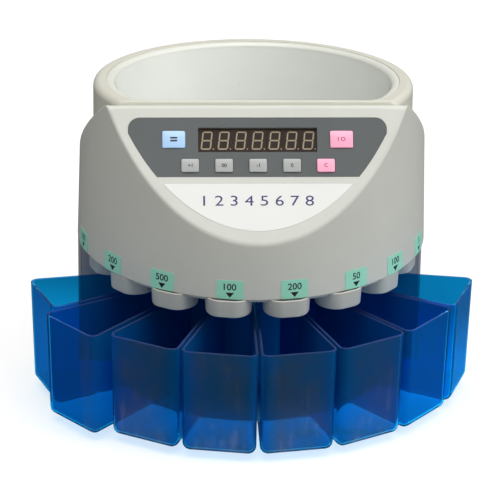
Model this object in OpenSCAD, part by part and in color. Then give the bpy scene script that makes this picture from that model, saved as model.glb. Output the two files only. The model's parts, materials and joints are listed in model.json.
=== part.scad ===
// Coin counter: a round drum with a hopper, a sloping key panel and a rotating coin disc
// that sorts coins through eight chutes into eight boxes standing in a fan.
// Millimetres, +Z up, front towards -Y, origin under the middle of the whole part.

/* [Drum] */
// Outer radius of the drum at its lower edge
drum_r = 140.2; // [134:0.1:150]
// Draft of the drum wall, narrowing upwards, in degrees
drum_draft = 1.67; // [0.2:0.01:3]
// Height of the drum's lower edge above the table
skirt_z = 120.8; // [117:0.1:128]
// Wall thickness of the moulded covers
wall = 2.6; // [2:0.1:3.2]
// Distance of the joint between front cover and rear housing behind the drum axis
split_y = 4; // [2:0.5:12]

/* [Panel] */
// Distance of the panel's top ridge behind the front of the drum's lower edge
panel_depth = 69.4; // [64:0.1:71]
// Height of the ridge above the table
ridge_z = 255.5; // [250:0.1:262]
// Rounding of the ridge
ridge_round = 4; // [3:0.1:6]
// Slope of the panel from the horizontal, in degrees
panel_slope = 52.8; // [48:0.1:58]
// Slope of the shoulders behind the ridge, in degrees
deck_slope = 39.9; // [36:0.1:43]

/* [Panel trim] */
// Distance of the dark overlay's top edge below the ridge, along the panel
overlay_top = 11; // [9:0.1:14]
// Height of the overlay along the panel
overlay_h = 47.5; // [47:0.1:50]
// Width across the overlay's rounded top corners
overlay_w = 199.5; // [190:0.5:210]
// Corner radius at the overlay's top
overlay_corner = 9; // [4:0.5:14]
// Thickness of the overlay
overlay_t = 0.5; // [0.3:0.1:0.6]
// Height of the bare band between overlay and lower plate
band_h = 5.4; // [3:0.1:8]
// Height of the white lower plate along the panel
lower_plate_h = 38.1; // [25:0.1:40]
// Thickness of the lower plate
lower_plate_t = 0.8; // [0.6:0.1:1.2]
// Depth of the panel recesses that hold the trim
trim_recess = 0.6; // [0.6:0.05:0.9]
// Distance of the trim's round edge inside the drum wall, seen from above
trim_border = 11.2; // [9:0.1:16]
// Distance of the centre of that round edge in front of the drum axis
trim_shift = 3.2; // [0:0.1:5]

/* [Display] */
// Width of the display window
window_w = 91.4; // [80:0.1:96]
// Height of the display window
window_h = 19.4; // [17:0.1:20]
// Distance of the window's top edge below the ridge, along the panel
window_top = 19.1; // [18.5:0.1:21]
// Thickness of the window
window_t = 2.2; // [1.5:0.1:2.4]
// Number of digits
digit_count = 7; // [4:1:9]
// Depth of the digit module
module_t = 7; // [6:0.1:9]
// Thickness of the display board
display_board_t = 1.6; // [1:0.1:2]

/* [Keys] */
// Width of the two large keys
big_key_w = 17.7; // [14:0.1:18.5]
// Height of the two large keys
big_key_h = 13.7; // [10:0.1:15]
// Distance of the large keys from the middle
big_key_x = 64.6; // [62:0.1:68]
// Distance of the large keys below the ridge, along the panel
big_key_s = 28.6; // [27:0.1:30]
// Width of the five small keys
small_key_w = 13.6; // [10:0.1:15]
// Height of the five small keys
small_key_h = 10.6; // [8:0.1:11]
// Spacing of the small keys
small_key_pitch = 26.1; // [22:0.1:28]
// Distance of the small keys below the ridge, along the panel
small_key_s = 49.5; // [48.5:0.1:50.5]
// Corner radius of the keys
key_corner = 1.6; // [0.8:0.1:2.5]
// Height of the keys above the panel
key_proud = 1.2; // [0.8:0.1:2]
// Radius of the keys' domed tops
key_dome = 70; // [40:1:120]
// Travel of the keys
key_travel = 0.5; // [0.3:0.05:0.6]
// Thickness and overhang of the flange that keeps a key in its hole
key_flange = 1.2; // [0.8:0.1:1.6]
// Length of the stem under a key's flange
key_stem = 1; // [0.6:0.1:1.4]
// Side of the square push switches under the keys
switch_side = 6; // [5:0.1:7]
// Height of a push switch's plunger
plunger_h = 1; // [0.6:0.1:1.5]

/* [Hopper] */
// Height of the rim's middle above the table
rim_z = 251.3; // [246:0.1:258]
// Tilt of the rim, front edge up, in degrees
rim_tilt = 4.3; // [3:0.1:5.2]
// Width of the shoulder between collar and drum wall
shoulder_w = 13.2; // [11:0.1:16]
// Width of the rim's flat top
rim_band = 10.7; // [8:0.1:13]
// Rounding of the rim's outer edge
rim_round = 5.5; // [3:0.1:7]
// Distance of the collar's flat front behind the ridge
collar_gap = 3.3; // [2.8:0.1:7]
// Width of the flat front's land, from the collar's face to the bowl's lip
front_land = 3; // [2.5:0.1:4]
// Corner radius between the round mouth and its straight front
mouth_corner = 20; // [12:0.5:26]
// Width of the bowl's lip
lip_w = 3.7; // [3.2:0.1:5]
// Thickness of the lip
lip_t = 2.4; // [2:0.1:3]
// Step of the lip below the rim
lip_step = 0.4; // [0:0.1:1]
// Wall thickness of the bowl
bowl_wall = 2.4; // [1.8:0.1:2.8]
// Inner radius of the bowl's lower opening
bowl_bottom_r = 84; // [70:0.5:90]
// Gap between the bowl's lower edge and the coin disc
bowl_gap = 6; // [4:0.5:9]

/* [Coin boxes] */
// Angle between neighbouring boxes, in degrees
box_pitch = 20; // [18:0.1:21]
// Distance of the boxes' flat outer walls from the drum axis
box_outer_u = 180; // [172:0.1:195]
// Distance of the boxes' inner ends from the drum axis
box_inner_u = 58; // [52:0.5:66]
// Height of a box
box_h = 86; // [70:0.5:92]
// Wall thickness of a box
box_wall = 2; // [1.5:0.1:2.5]
// Half of the gap between neighbouring boxes
box_gap = 1; // [0.8:0.1:4]
// Radius of a box's upright corners
box_corner = 6.5; // [4:0.1:7]
// Rounding along a box's lower edges
box_foot_round = 3; // [2.5:0.1:5]
// Draft of a box's outer wall, from top to bottom
box_draft_out = 2.2; // [0:0.1:6]
// Draft of a box's side walls, from top to bottom
box_draft_side = 0.3; // [0:0.1:2]
// Distance that the second box stands pulled out
box_pulled = 12; // [0:0.5:30]
// Length of the tongue that holds a box under the column's flange
tongue_l = 8; // [5:0.5:12]
// Width of the tongue
tongue_w = 8; // [5:0.5:12]
// Thickness of the tongue
tongue_t = 2; // [1.5:0.1:3]

/* [Chutes and deck] */
// Outer radius of a chute at its top
chute_r = 18.6; // [16:0.1:20]
// Distance that a chute stands out in front of the drum wall
chute_proud = 6.4; // [4:0.1:9]
// Length of a chute below the drum's lower edge
chute_drop = 14.4; // [9:0.1:18]
// Taper of a chute over its length
chute_taper = 0.7; // [0:0.1:1.5]
// Wall thickness of a chute
chute_wall = 2.8; // [2:0.1:3.5]
// Distance of a chute's flat front from its middle
chute_flat = 16; // [15.5:0.1:18]
// Wall thickness behind the flat front
chute_flat_wall = 2.2; // [1.6:0.1:2.4]
// Distance that the outermost chutes stand nearer to the drum axis
chute_set_back = 7.5; // [6.9:0.1:7.8]
// Thickness of the sorting deck
deck_t = 3; // [2:0.1:4]
// Radius of the coin holes in the deck
drop_r = 10.5; // [9:0.1:11]
// Distance of the coin holes from the middle chutes' middles, towards the drum axis
drop_shift = 4.4; // [4.2:0.1:4.6]

/* [Labels] */
// Width of a number label
label_w = 21; // [16:0.5:24]
// Height of a number label
label_h = 15.5; // [12:0.5:18]
// Thickness of a number label
label_t = 0.25; // [0.1:0.05:0.4]

/* [Sorting drive] */
// Wall of the sorting ring
ring_wall = 3.5; // [2.5:0.1:5]
// Gap between the sorting ring and the coin holes
ring_gap = 1.7; // [1:0.1:3]
// Gap between the coin disc and the sorting ring
disc_gap = 0.8; // [0.5:0.1:1.5]
// Height of the coin disc's underside above the deck
disc_lift = 29.2; // [26:0.2:34]
// Thickness of the coin disc
disc_t = 6; // [4:0.2:8]
// Height of the ribs on the coin disc
disc_rib = 2; // [1:0.1:3]
// Narrowest coin slot of the sorting ring
slot_first = 17; // [14:0.5:19]
// Step in width from one coin slot to the next
slot_step = 1.6; // [0.5:0.1:2]
// Height of the coin slots above the disc
slot_h = 5; // [4:0.2:6]
// Height of the ring's wall above the coin slots
slot_head = 4; // [2:0.2:6]
// Width of a coin sensor
sensor_w = 14; // [10:0.5:18]
// Height of a coin sensor
sensor_h = 7; // [5:0.5:9]
// Overhang of a coin sensor outside the ring
sensor_out = 5; // [3:0.2:7]
// Radius of the cone on the coin disc
cone_r = 24; // [18:0.5:28]
// Radius of the cone's round top
cone_top_r = 8; // [6.5:0.5:12]
// Height of the cone's straight side
cone_h = 20; // [12:0.5:24]
// Length of the coin disc's hub
hub_h = 14; // [8:0.5:20]
// Width of the ribs on the coin disc
rib_w = 4; // [2:0.2:6]
// Radius of the spindle
spindle_r = 5; // [4:0.1:6]
// Belt radius of the large pulley on the spindle
drive_pulley_r = 24; // [18:0.5:25]
// Belt radius of the small pulley on the motor
motor_pulley_r = 10; // [8:0.5:14]
// Height of both pulleys
pulley_h = 14; // [10:0.5:16]
// Depth of the pulleys' belt grooves
groove = 2.5; // [2:0.1:3]
// Thickness of the belt
belt_t = 1.6; // [1:0.1:2]
// Radius of the motor shaft
shaft_r = 3; // [2:0.1:4]
// Radius of the motor
motor_r = 26; // [22:0.5:28]
// Height of the motor
motor_h = 58; // [40:1:64]
// Distance of the motor's axis behind the drum axis
motor_y = 70; // [66:0.5:72]
// Thickness of the motor bracket
bracket_t = 3; // [2:0.1:4]
// Gap between the pulleys and the deck
pulley_drop = 8; // [6:0.5:12]
// Gap between the motor bracket and the pulleys
pulley_lift = 5; // [3:0.5:8]
// Outer radius of the spindle's bearings
bearing_r = 11; // [9:0.5:14]
// Width and thickness of the bearings' flanges
bearing_flange = 4; // [3:0.5:6]
// Height of the lower bearing
bearing_h = 18; // [12:0.5:24]

/* [Stand and rear] */
// Height of the rubber feet
foot_h = 3; // [2:0.1:5]
// Radius of the rubber feet
foot_r = 8; // [6:0.5:12]
// Thickness of the base plate
base_t = 3; // [2:0.1:4]
// Radius of the base plate under the boxes
base_front_r = 112; // [105:0.5:125]
// Radius of the centre column
column_r = 34; // [33:0.5:38]
// Wall of the centre column
column_wall = 3; // [2:0.1:4]
// Thickness of the bay wall
bay_t = 3; // [2:0.1:4]
// Width of the shelf on the rear housing that carries the collar
shelf_w = 24; // [22:0.5:28]
// Radius of the screw heads
screw_r = 3; // [2.5:0.1:4]
// Height of the screw heads
screw_h = 1.6; // [1:0.1:1.9]

/* [Electronics] */
// Width of the control board
board_w = 60; // [50:1:64]
// Depth of the control board
board_d = 56; // [52:1:60]
// Thickness of the control board
board_t = 1.6; // [1:0.1:2]
// Distance of the control board and the transformer from the middle
board_x = 42; // [40:0.5:46]
// Height of the control board's standoffs
standoff_h = 10; // [6:0.5:14]
// Width of the transformer's core
core_w = 52; // [44:1:56]
// Depth of the transformer's core
core_d = 22; // [16:1:28]
// Height of the transformer's core
core_h = 44; // [36:1:52]

/* [Rear pocket] */
// Width of the pocket for the mains fittings
pocket_w = 88; // [84:0.5:96]
// Height of the pocket
pocket_h = 42; // [36:0.5:50]
// Height of the pocket's middle above the table
pocket_z = 48; // [40:0.5:60]
// Depth of the pocket's floor behind the rearmost point of the drum
pocket_depth = 12.2; // [10:0.1:14]
// Width of the mains inlet's opening
inlet_w = 24.4; // [23:0.1:26]
// Height of the mains inlet's opening
inlet_h = 16.4; // [15:0.1:18]
// Width of the rocker
rocker_w = 10.8; // [8:0.1:12]
// Radius of the rocker about its pivot
rocker_r = 8; // [6.5:0.1:9]
// Tilt of the rocker at rest, in degrees
rocker_tilt = 9; // [5:0.5:12]
// Radius of the fuse holder's body
fuse_r = 6; // [5:0.1:7]

/* [Fits] */
// Gap between pieces that slide past each other
slip = 0.3; // [0.2:0.05:0.5]
// Radial gap of a shaft in its bearing
run = 0.05; // [0.02:0.01:0.1]
// Gap round a piece that sits in its recess or on its shaft
seat = 0.1; // [0.05:0.05:0.2]

/* [Hidden] */
$fn = 96;
over = 1;
far = 400;
thin = 0.01;

// Places in front of the drum axis
ridge_front = drum_r - panel_depth;
hopper_front = ridge_front - collar_gap;

// Heights, from the table up
base_top = foot_h + base_t;
box_z = base_top + slip;
deck_z = skirt_z - deck_t;
chute_z = skirt_z - chute_drop;
disc_z = skirt_z + disc_lift;
disc_top = disc_z + disc_t;
bowl_z = disc_top + bowl_gap;
ring_top = disc_top + slot_h + slot_head;
shoulder_z = ridge_z - (ridge_front + split_y) * tan(deck_slope);
pulley_z = deck_z - pulley_h - pulley_drop;
motor_top = pulley_z - pulley_lift - bracket_t;

// Radii and places along a radius
collar_r = drum_r - shoulder_w;
mouth_r = collar_r - rim_band;
bowl_r = mouth_r - seat - lip_w;
lip_seat_z = -lip_step - lip_t;
lip_seat_w = (lip_w - bowl_wall) * 0.75;
deck_r = drum_r - wall - slip;
chute_u = drum_r + chute_proud - chute_r;
drop_u = chute_u - drop_shift;
ring_r = drop_u - drop_r - ring_gap;
disc_r = ring_r - ring_wall - disc_gap;
flange_r = box_inner_u - 2 * slip;
rib_count = 4;
rib_gap = 6;
rib_start = cone_r + rib_gap;
box_count = 8;
board_gap = 11;
board_y = split_y + bay_t + board_gap;
standoff_edge = 5;
chip_h = 3;
plug_h = 8;
can_h = 14;
can_r = 3.5;
heat_sink_h = 22;
heat_sink_t = 4;
coil_out = 9;
tail_l = 22;
belt_room = 3;
shaft_in = 20;
motor_boss_r = 3 * shaft_r;
foot_edge = 4;
label_gap = seat / 4;
label_turn = [-74.5, -53, -31.8, -9, 11.5, 33.3, 51.7, 70.5];

// The drum axis stands behind the middle of the part, so that the origin lies under the middle
box_half = box_pitch / 2;
corner_u = box_outer_u - box_corner;
corner_w = corner_u * tan(box_half) - (box_gap + box_corner) / cos(box_half);
front_reach = corner_u * cos(box_half) + corner_w * sin(box_half) + box_corner;
axis_y = (front_reach - drum_r) / 2;

// Panel layout, measured down the panel from the ridge and inwards from its face
lower_plate_top = overlay_top + overlay_h + band_h;
module_face = trim_recess + window_t - overlay_t;
board_face = module_face + module_t;
flange_face = wall + slip;
stem_end = flange_face + key_flange + key_stem;
switch_top = stem_end + key_travel + seat;
post_r = screw_r;
board_margin = 2;
post_edge = post_r + board_margin;
post_x = big_key_x + big_key_w / 2 + key_flange + post_r + over;
display_board_w = 2 * (post_x + post_edge);
display_board_top = window_top - board_margin;
display_board_bottom = small_key_s + small_key_h / 2 + board_margin;
post_s = [display_board_top + post_edge, display_board_bottom - post_edge];

// Rear fittings on the pocket's floor
pocket_y = drum_r - pocket_depth;
inlet_x = -24;
switch_x = 10;
fuse_x = 30;
fitting_flange = 2;
fitting_wall = 1.6;
pivot_r = 1.5;
pivot_in = 0.5;
pivot_y = pocket_y - pivot_in;
rocker_face = 0.8;
switch_tail = 6;
inlet_pin = [2, 4];
inlet_pin_pitch = 7;
inlet_pin_rise = 2;
inlet_pin_back = 8;
fuse_flange = 1.5;
fuse_cap_h = 3.5;
fuse_cap_in = 0.8;
fuse_slot_w = 1.2;
fuse_slot_h = 1.5;

function turn(k) = (k - (box_count + 1) / 2) * box_pitch;
function drum_at(z) = drum_r - (z - skirt_z) * tan(drum_draft);
function chute_at(k) = chute_u - chute_set_back * pow(turn(k) / turn(box_count), 2);
function small_key_x(k) = (k - 3) * small_key_pitch;

// Shared shapes

// Puts children from the drum's frame, with its axis at x = y = 0, into the part's frame
module in_drum() {
    translate([0, axis_y, 0])
        children();
}

// Turns children so that their -Y axis points along the radius at an angle from the front
module at_turn(angle) {
    rotate([0, 0, angle])
        children();
}

// Puts children on the panel: +Y runs up the slope, +Z points out of the panel
module on_panel() {
    translate([0, -ridge_front, ridge_z])
        rotate([panel_slope, 0, 0])
            children();
}

// Puts children in the tilted frame of the hopper's rim, whose top is z = 0
module on_rim() {
    translate([0, 0, rim_z])
        rotate([-rim_tilt, 0, 0])
            children();
}

// Tube with a straight bore
module tube(h, r, bore) {
    difference() {
        cylinder(h = h, r = r);
        translate([0, 0, -over])
            cylinder(h = h + 2 * over, r = bore);
    }
}

// Flat rectangle with round corners, centred
module round_rect(w, h, r) {
    square([w - 2 * r, h], center = true);
    square([w, h - 2 * r], center = true);
    for (x = [-1, 1])
        for (y = [-1, 1])
            translate([x * (w / 2 - r), y * (h / 2 - r)])
                circle(r);
}

// Solid cone of the drum wall between two heights, pulled in by inset
module drum_cone(z0, z1, inset = 0) {
    translate([0, 0, z0])
        cylinder(h = z1 - z0, r1 = drum_at(z0) - inset, r2 = drum_at(z1) - inset);
}

// Half space behind y0
module behind(y0) {
    translate([-far / 2, y0, -over])
        cube([far, far, far]);
}

// Side outline of the cover, as y and z: panel slope, rounded ridge and rear slope
module cover_side(inset) {
    panel_n = [-sin(panel_slope), cos(panel_slope)];
    deck_n = [sin(deck_slope), cos(deck_slope)];
    tip = [-ridge_front, ridge_z];
    round_c = tip - ridge_round * (panel_n + deck_n) / (1 + panel_n * deck_n);
    panel_end = round_c + (ridge_round - inset) * panel_n;
    deck_end = round_c + (ridge_round - inset) * deck_n;
    polygon([
        panel_end,
        deck_end,
        deck_end + far * [cos(deck_slope), -sin(deck_slope)],
        panel_end + far * [-cos(panel_slope), -sin(panel_slope)]
    ]);
    translate(round_c)
        circle(ridge_round - inset);
}

// Drum cone cut by the panel and the shoulders, pulled in by inset
module cover_form(inset, z0, y1) {
    intersection() {
        drum_cone(z0, ridge_z + over, inset);
        rotate([90, 0, 90])
            linear_extrude(height = far, center = true)
                cover_side(inset);
        translate([-far / 2, y1 - far, -over])
            cube([far, far, far]);
    }
}

// Slab of the panel between two distances below the ridge, with the trim's round edge
module panel_slab(s0, s1, z0, z1, grow = 0) {
    intersection() {
        on_panel()
            translate([-far / 2, -s1 - grow, z0])
                cube([far, s1 - s0 + 2 * grow, z1 - z0]);
        translate([0, -trim_shift, 0])
            cylinder(h = far, r = drum_r - trim_border + grow);
    }
}

// Overlay outline with its two rounded top corners
module overlay_slab(z0, z1, grow = 0) {
    intersection() {
        panel_slab(overlay_top, overlay_top + overlay_h, z0, z1, grow);
        on_panel()
            translate([0, -overlay_top - overlay_h, z0 - over])
                linear_extrude(height = z1 - z0 + 2 * over)
                    round_rect(overlay_w + 2 * grow, 2 * (overlay_h + grow), overlay_corner + grow);
    }
}

// Straight prisms for all key holes and the window, widened by grow
module panel_holes(key_grow, window_grow, z0, z1) {
    translate([0, 0, z0])
        linear_extrude(height = z1 - z0) {
            for (side = [-1, 1])
                translate([side * big_key_x, -big_key_s])
                    round_rect(big_key_w + 2 * key_grow, big_key_h + 2 * key_grow, key_corner + key_grow);
            for (k = [1:5])
                translate([small_key_x(k), -small_key_s])
                    round_rect(small_key_w + 2 * key_grow, small_key_h + 2 * key_grow, key_corner + key_grow);
            translate([0, -window_top - window_h / 2])
                square([window_w + 2 * window_grow, window_h + 2 * window_grow], center = true);
        }
}

// Outline of the hopper's mouth: a circle with a straight front and round corners
module mouth_plan(r, front, corner) {
    corner_y = -front + corner;
    corner_x = sqrt(pow(r - corner, 2) - pow(corner_y, 2));
    touch_y = corner_y * r / (r - corner);
    intersection() {
        circle(r);
        translate([-far / 2, touch_y])
            square([far, far]);
    }
    translate([-corner_x, -front])
        square([2 * corner_x, front + touch_y + thin]);
    for (side = [-1, 1])
        translate([side * corner_x, corner_y])
            circle(corner);
}

// Outline of the collar: a circle with a straight front
module collar_plan(r, front) {
    intersection() {
        circle(r);
        translate([-far / 2, -front])
            square([far, far]);
    }
}

// Plan of a coin box, front towards -Y: two radial sides, a flat outer wall and a narrow inner end
module box_plan(gap, outer_u, inner_u, corner) {
    inner_w = inner_u * tan(box_half) - gap / cos(box_half);
    outer_w = outer_u * tan(box_half) - gap / cos(box_half);
    offset(r = corner, $fn = 32)
        offset(delta = -corner)
            polygon([[-inner_w, -inner_u], [inner_w, -inner_u], [outer_w, -outer_u], [-outer_w, -outer_u]]);
}

// Closed form of a coin box with drafted walls and a rounded foot, pulled in by inset
module box_form(inset, z0, z1, foot_round) {
    hull()
        for (t = [0, 30, 60, 90, 180]) {
            pull = t < 90 ? foot_round * (1 - sin(t)) : 0;
            z = t <= 90 ? z0 + foot_round * (1 - cos(t)) : z1 - thin;
            drop = (box_z + box_h - min(z, box_z + box_h)) / box_h;
            translate([0, 0, z])
                linear_extrude(height = thin)
                    offset(delta = -pull)
                        box_plan(
                            box_gap + inset + drop * box_draft_side,
                            box_outer_u - inset - drop * box_draft_out,
                            box_inner_u + inset,
                            box_corner - inset
                        );
        }
}

// Loop round both pulleys, grown by a distance
module belt_loop(grow) {
    hull() {
        circle(drive_pulley_r + grow, $fn = 48);
        translate([0, motor_y])
            circle(motor_pulley_r + grow, $fn = 32);
    }
}

// Pulley with a belt groove and two flanges
module pulley(r, bore) {
    difference() {
        union() {
            cylinder(h = pulley_h, r = r);
            for (z = [0, pulley_h - groove])
                translate([0, 0, z])
                    cylinder(h = groove, r = r + groove);
        }
        translate([0, 0, -over])
            cylinder(h = pulley_h + 2 * over, r = bore);
    }
}

// Key in the panel's frame: domed cap, flange under the panel and stem
module key(x, s, w, h) {
    cap_h = flange_face + key_proud;
    color("gainsboro")
        in_drum()
            on_panel()
                translate([x, -s, -flange_face]) {
                    intersection() {
                        linear_extrude(height = cap_h)
                            round_rect(w, h, key_corner);
                        translate([0, 0, cap_h - key_dome])
                            sphere(r = key_dome);
                    }
                    translate([0, 0, -key_flange])
                        linear_extrude(height = key_flange)
                            round_rect(w + 2 * key_flange, h + 2 * key_flange, key_corner);
                    translate([0, 0, flange_face - stem_end])
                        cylinder(h = stem_end - flange_face, r = switch_side / 3);
                }
}

// Coin box number k, standing out by pulled
module coin_box(k, pulled = 0) {
    color("royalblue", 0.7)
        in_drum()
            at_turn(turn(k))
                translate([0, -pulled, 0]) {
                    difference() {
                        box_form(0, box_z, box_z + box_h, box_foot_round);
                        box_form(box_wall, box_z + box_wall, box_z + box_h + over, box_foot_round - box_wall);
                    }
                    translate([-tongue_w / 2, -box_inner_u - box_wall / 2, box_z])
                        cube([tongue_w, tongue_l + box_wall / 2, tongue_t]);
                }
}

// Stand

module base_plate() {
    color("dimgray")
        in_drum()
            translate([0, 0, foot_h])
                linear_extrude(height = base_t) {
                    circle(base_front_r);
                    intersection() {
                        circle(drum_r - wall - seat);
                        translate([-far / 2, split_y + slip])
                            square([far, far]);
                    }
                }
}

module rubber_feet() {
    color("black")
        in_drum()
            for (angle = [-40, 40, 130, 230])
                at_turn(angle)
                    translate([0, -(base_front_r - foot_r - foot_edge), 0])
                        cylinder(h = foot_h, r = foot_r);
}

module base_screws() {
    color("silver")
        in_drum()
            for (angle = [0:60:300])
                at_turn(angle)
                    translate([0, -column_r - 2 * screw_r, foot_h - screw_h])
                        cylinder(h = screw_h, r = screw_r);
}

module center_column() {
    color("lightgray")
        in_drum()
            difference() {
                union() {
                    translate([0, 0, base_top])
                        tube(deck_z - base_top, column_r, column_r - column_wall);
                    intersection() {
                        translate([0, 0, box_z + tongue_t + slip])
                            tube(tongue_t, flange_r, column_r - column_wall);
                        translate([-far / 2, split_y - far, 0])
                            cube([far, far, far]);
                    }
                }
                translate([-drive_pulley_r - groove - over, 0, pulley_z - belt_room])
                    cube([2 * (drive_pulley_r + groove + over), far, pulley_h + 2 * belt_room]);
            }
}

module bay_wall() {
    color("gray")
        in_drum()
            difference() {
                intersection() {
                    translate([-far / 2, split_y + slip, base_top])
                        cube([far, bay_t, deck_z - base_top]);
                    cylinder(h = far, r = drum_r - wall - seat);
                }
                cylinder(h = far, r = column_r + seat);
            }
}

// Rear housing

module rear_shell(inset, z0, z1) {
    translate([0, 0, z0])
        cylinder(h = skirt_z - z0, r = drum_r - inset);
    drum_cone(skirt_z, z1, inset);
}

module rear_housing() {
    pocket = [pocket_w, pocket_depth + over, pocket_h];
    color("silver")
        in_drum()
            difference() {
                intersection() {
                    union() {
                        difference() {
                            rear_shell(0, foot_h, shoulder_z);
                            rear_shell(wall, foot_h - over, shoulder_z - wall);
                            cylinder(h = far, r = drum_r - shelf_w);
                        }
                        translate([-pocket_w / 2 - wall, pocket_y - wall, pocket_z - pocket_h / 2 - wall])
                            cube([pocket_w + 2 * wall, pocket_depth, pocket_h + 2 * wall]);
                    }
                    rear_shell(0, foot_h, shoulder_z);
                    behind(split_y + slip);
                }
                translate([-pocket_w / 2, pocket_y, pocket_z - pocket_h / 2])
                    cube(pocket);
                translate([inlet_x - inlet_w / 2 - fitting_wall - seat, pocket_y - wall - over,
                           pocket_z - inlet_h / 2 - fitting_wall - seat])
                    cube([inlet_w + 2 * (fitting_wall + seat), wall + 2 * over,
                          inlet_h + 2 * (fitting_wall + seat)]);
                translate([switch_x - rocker_w / 2 - slip - fitting_wall - seat, pocket_y - wall - over,
                           pocket_z - rocker_r - slip - fitting_wall - seat])
                    cube([rocker_w + 2 * (slip + fitting_wall + seat), wall + 2 * over,
                          2 * (rocker_r + slip + fitting_wall + seat)]);
                translate([fuse_x, pocket_y + over, pocket_z])
                    rotate([90, 0, 0])
                        cylinder(h = wall + 2 * over, r = fuse_r + seat);
            }
}

module power_inlet() {
    depth = tail_l;
    pin_l = depth - inlet_pin_back;
    color("black")
        in_drum()
            translate([inlet_x, pocket_y, pocket_z]) {
                difference() {
                    union() {
                        translate([-inlet_w / 2 - fitting_wall, -depth, -inlet_h / 2 - fitting_wall])
                            cube([inlet_w + 2 * fitting_wall, depth, inlet_h + 2 * fitting_wall]);
                        translate([-inlet_w / 2 - 2 * fitting_wall, 0, -inlet_h / 2 - 2 * fitting_wall])
                            cube([inlet_w + 4 * fitting_wall, fitting_flange, inlet_h + 4 * fitting_wall]);
                    }
                    translate([-inlet_w / 2, fitting_wall - depth, -inlet_h / 2])
                        cube([inlet_w, depth + fitting_flange, inlet_h]);
                }
                for (k = [-1, 0, 1])
                    translate([
                        k * inlet_pin_pitch - inlet_pin[0] / 2,
                        fitting_wall / 2 - depth,
                        (k == 0 ? inlet_pin_rise : -inlet_pin_rise) - inlet_pin[1] / 2
                    ])
                        cube([inlet_pin[0], pin_l + fitting_wall / 2, inlet_pin[1]]);
            }
}

module switch_frame() {
    depth = rocker_r + switch_tail;
    cavity_w = rocker_w + 2 * slip;
    cavity_h = 2 * (rocker_r + slip);
    color("black")
        in_drum()
            translate([switch_x, pocket_y, pocket_z])
                difference() {
                    union() {
                        translate([-cavity_w / 2 - fitting_wall, -depth, -cavity_h / 2 - fitting_wall])
                            cube([cavity_w + 2 * fitting_wall, depth, cavity_h + 2 * fitting_wall]);
                        translate([-cavity_w / 2 - 2 * fitting_wall, 0, -cavity_h / 2 - 2 * fitting_wall])
                            cube([cavity_w + 4 * fitting_wall, fitting_flange, cavity_h + 4 * fitting_wall]);
                    }
                    translate([-cavity_w / 2, fitting_wall - depth, -cavity_h / 2])
                        cube([cavity_w, depth + fitting_flange, cavity_h]);
                    translate([-cavity_w / 2 - fitting_wall / 2, pivot_y - pocket_y, 0])
                        rotate([0, 90, 0])
                            cylinder(h = cavity_w + fitting_wall, r = pivot_r + run);
                }
}

module power_rocker() {
    pivot_l = rocker_w + 2 * slip + fitting_wall - 2 * seat;
    color("firebrick")
        in_drum()
            translate([switch_x, pivot_y, pocket_z])
                rotate([-rocker_tilt, 0, 0]) {
                    rotate([90, 0, 90])
                        linear_extrude(height = rocker_w, center = true)
                            intersection() {
                                circle(rocker_r);
                                polygon([
                                    [rocker_face, 0],
                                    [rocker_face + far * tan(rocker_tilt), far],
                                    [-far, far],
                                    [-far, -far],
                                    [rocker_face + far * tan(rocker_tilt), -far]
                                ]);
                            }
                    rotate([0, 90, 0])
                        cylinder(h = pivot_l, r = pivot_r, center = true);
                }
}

module fuse_holder() {
    color("black")
        in_drum()
            translate([fuse_x, pocket_y, pocket_z])
                rotate([-90, 0, 0])
                    difference() {
                        union() {
                            translate([0, 0, -tail_l])
                                cylinder(h = tail_l + over, r = fuse_r);
                            cylinder(h = fitting_flange, r = fuse_r + fuse_flange);
                            cylinder(h = fitting_flange + fuse_cap_h, r = fuse_r - fuse_cap_in);
                        }
                        translate([-fuse_r, -fuse_slot_w / 2, fitting_flange + fuse_cap_h - fuse_slot_h])
                            cube([2 * fuse_r, fuse_slot_w, far]);
                    }
}

// Deck and chutes

module sort_deck() {
    color("lightgray")
        in_drum()
            difference() {
                translate([0, 0, deck_z])
                    cylinder(h = deck_t, r = deck_r);
                for (k = [1:box_count])
                    at_turn(turn(k))
                        translate([0, -drop_u, 0])
                            cylinder(h = far, r = drop_r);
                cylinder(h = far, r = bearing_r + seat);
            }
}

// Round form of a chute with a flat front, between two heights and radii
module chute_form(z0, z1, r0, r1, flat) {
    intersection() {
        translate([0, 0, z0])
            cylinder(h = z1 - z0, r1 = r0, r2 = r1);
        translate([-far / 2, -flat, z0 - over])
            cube([far, far, z1 - z0 + 2 * over]);
    }
}

module coin_chutes() {
    bore_r = chute_r - chute_taper - chute_wall;
    bore_flat = chute_flat - chute_flat_wall;
    rim_top = deck_z + deck_t - slip;
    color("gainsboro")
        in_drum()
            for (k = [1:box_count])
                at_turn(turn(k))
                    translate([0, -chute_at(k), 0]) {
                        difference() {
                            chute_form(chute_z, deck_z, chute_r - chute_taper, chute_r, chute_flat);
                            chute_form(chute_z - over, deck_z + over, bore_r, bore_r, bore_flat);
                        }
                        if (chute_at(k) + chute_flat > deck_r + over)
                            difference() {
                                chute_form(deck_z - thin, rim_top, chute_r, chute_r, chute_flat);
                                translate([0, chute_at(k), 0])
                                    cylinder(h = far, r = deck_r + seat);
                            }
                    }
}

// Front cover, with the panel's recesses, holes and inner posts

module front_cover() {
    color("gainsboro")
        in_drum() {
            difference() {
                cover_form(0, skirt_z, split_y);
                cover_form(wall, skirt_z - over, split_y + over);
                on_rim()
                    translate([0, 0, -far / 2])
                        linear_extrude(height = far)
                            collar_plan(collar_r + slip, hopper_front + slip);
                overlay_slab(-trim_recess, over, seat);
                panel_slab(lower_plate_top, lower_plate_top + lower_plate_h, -trim_recess, over, seat);
                on_panel()
                    panel_holes(slip, seat, -wall - over, over);
            }
            on_panel()
                for (side = [-1, 1])
                    for (s = post_s)
                        translate([side * post_x, -s, -board_face])
                            cylinder(h = board_face - wall + thin, r = post_r);
        }
}

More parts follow.
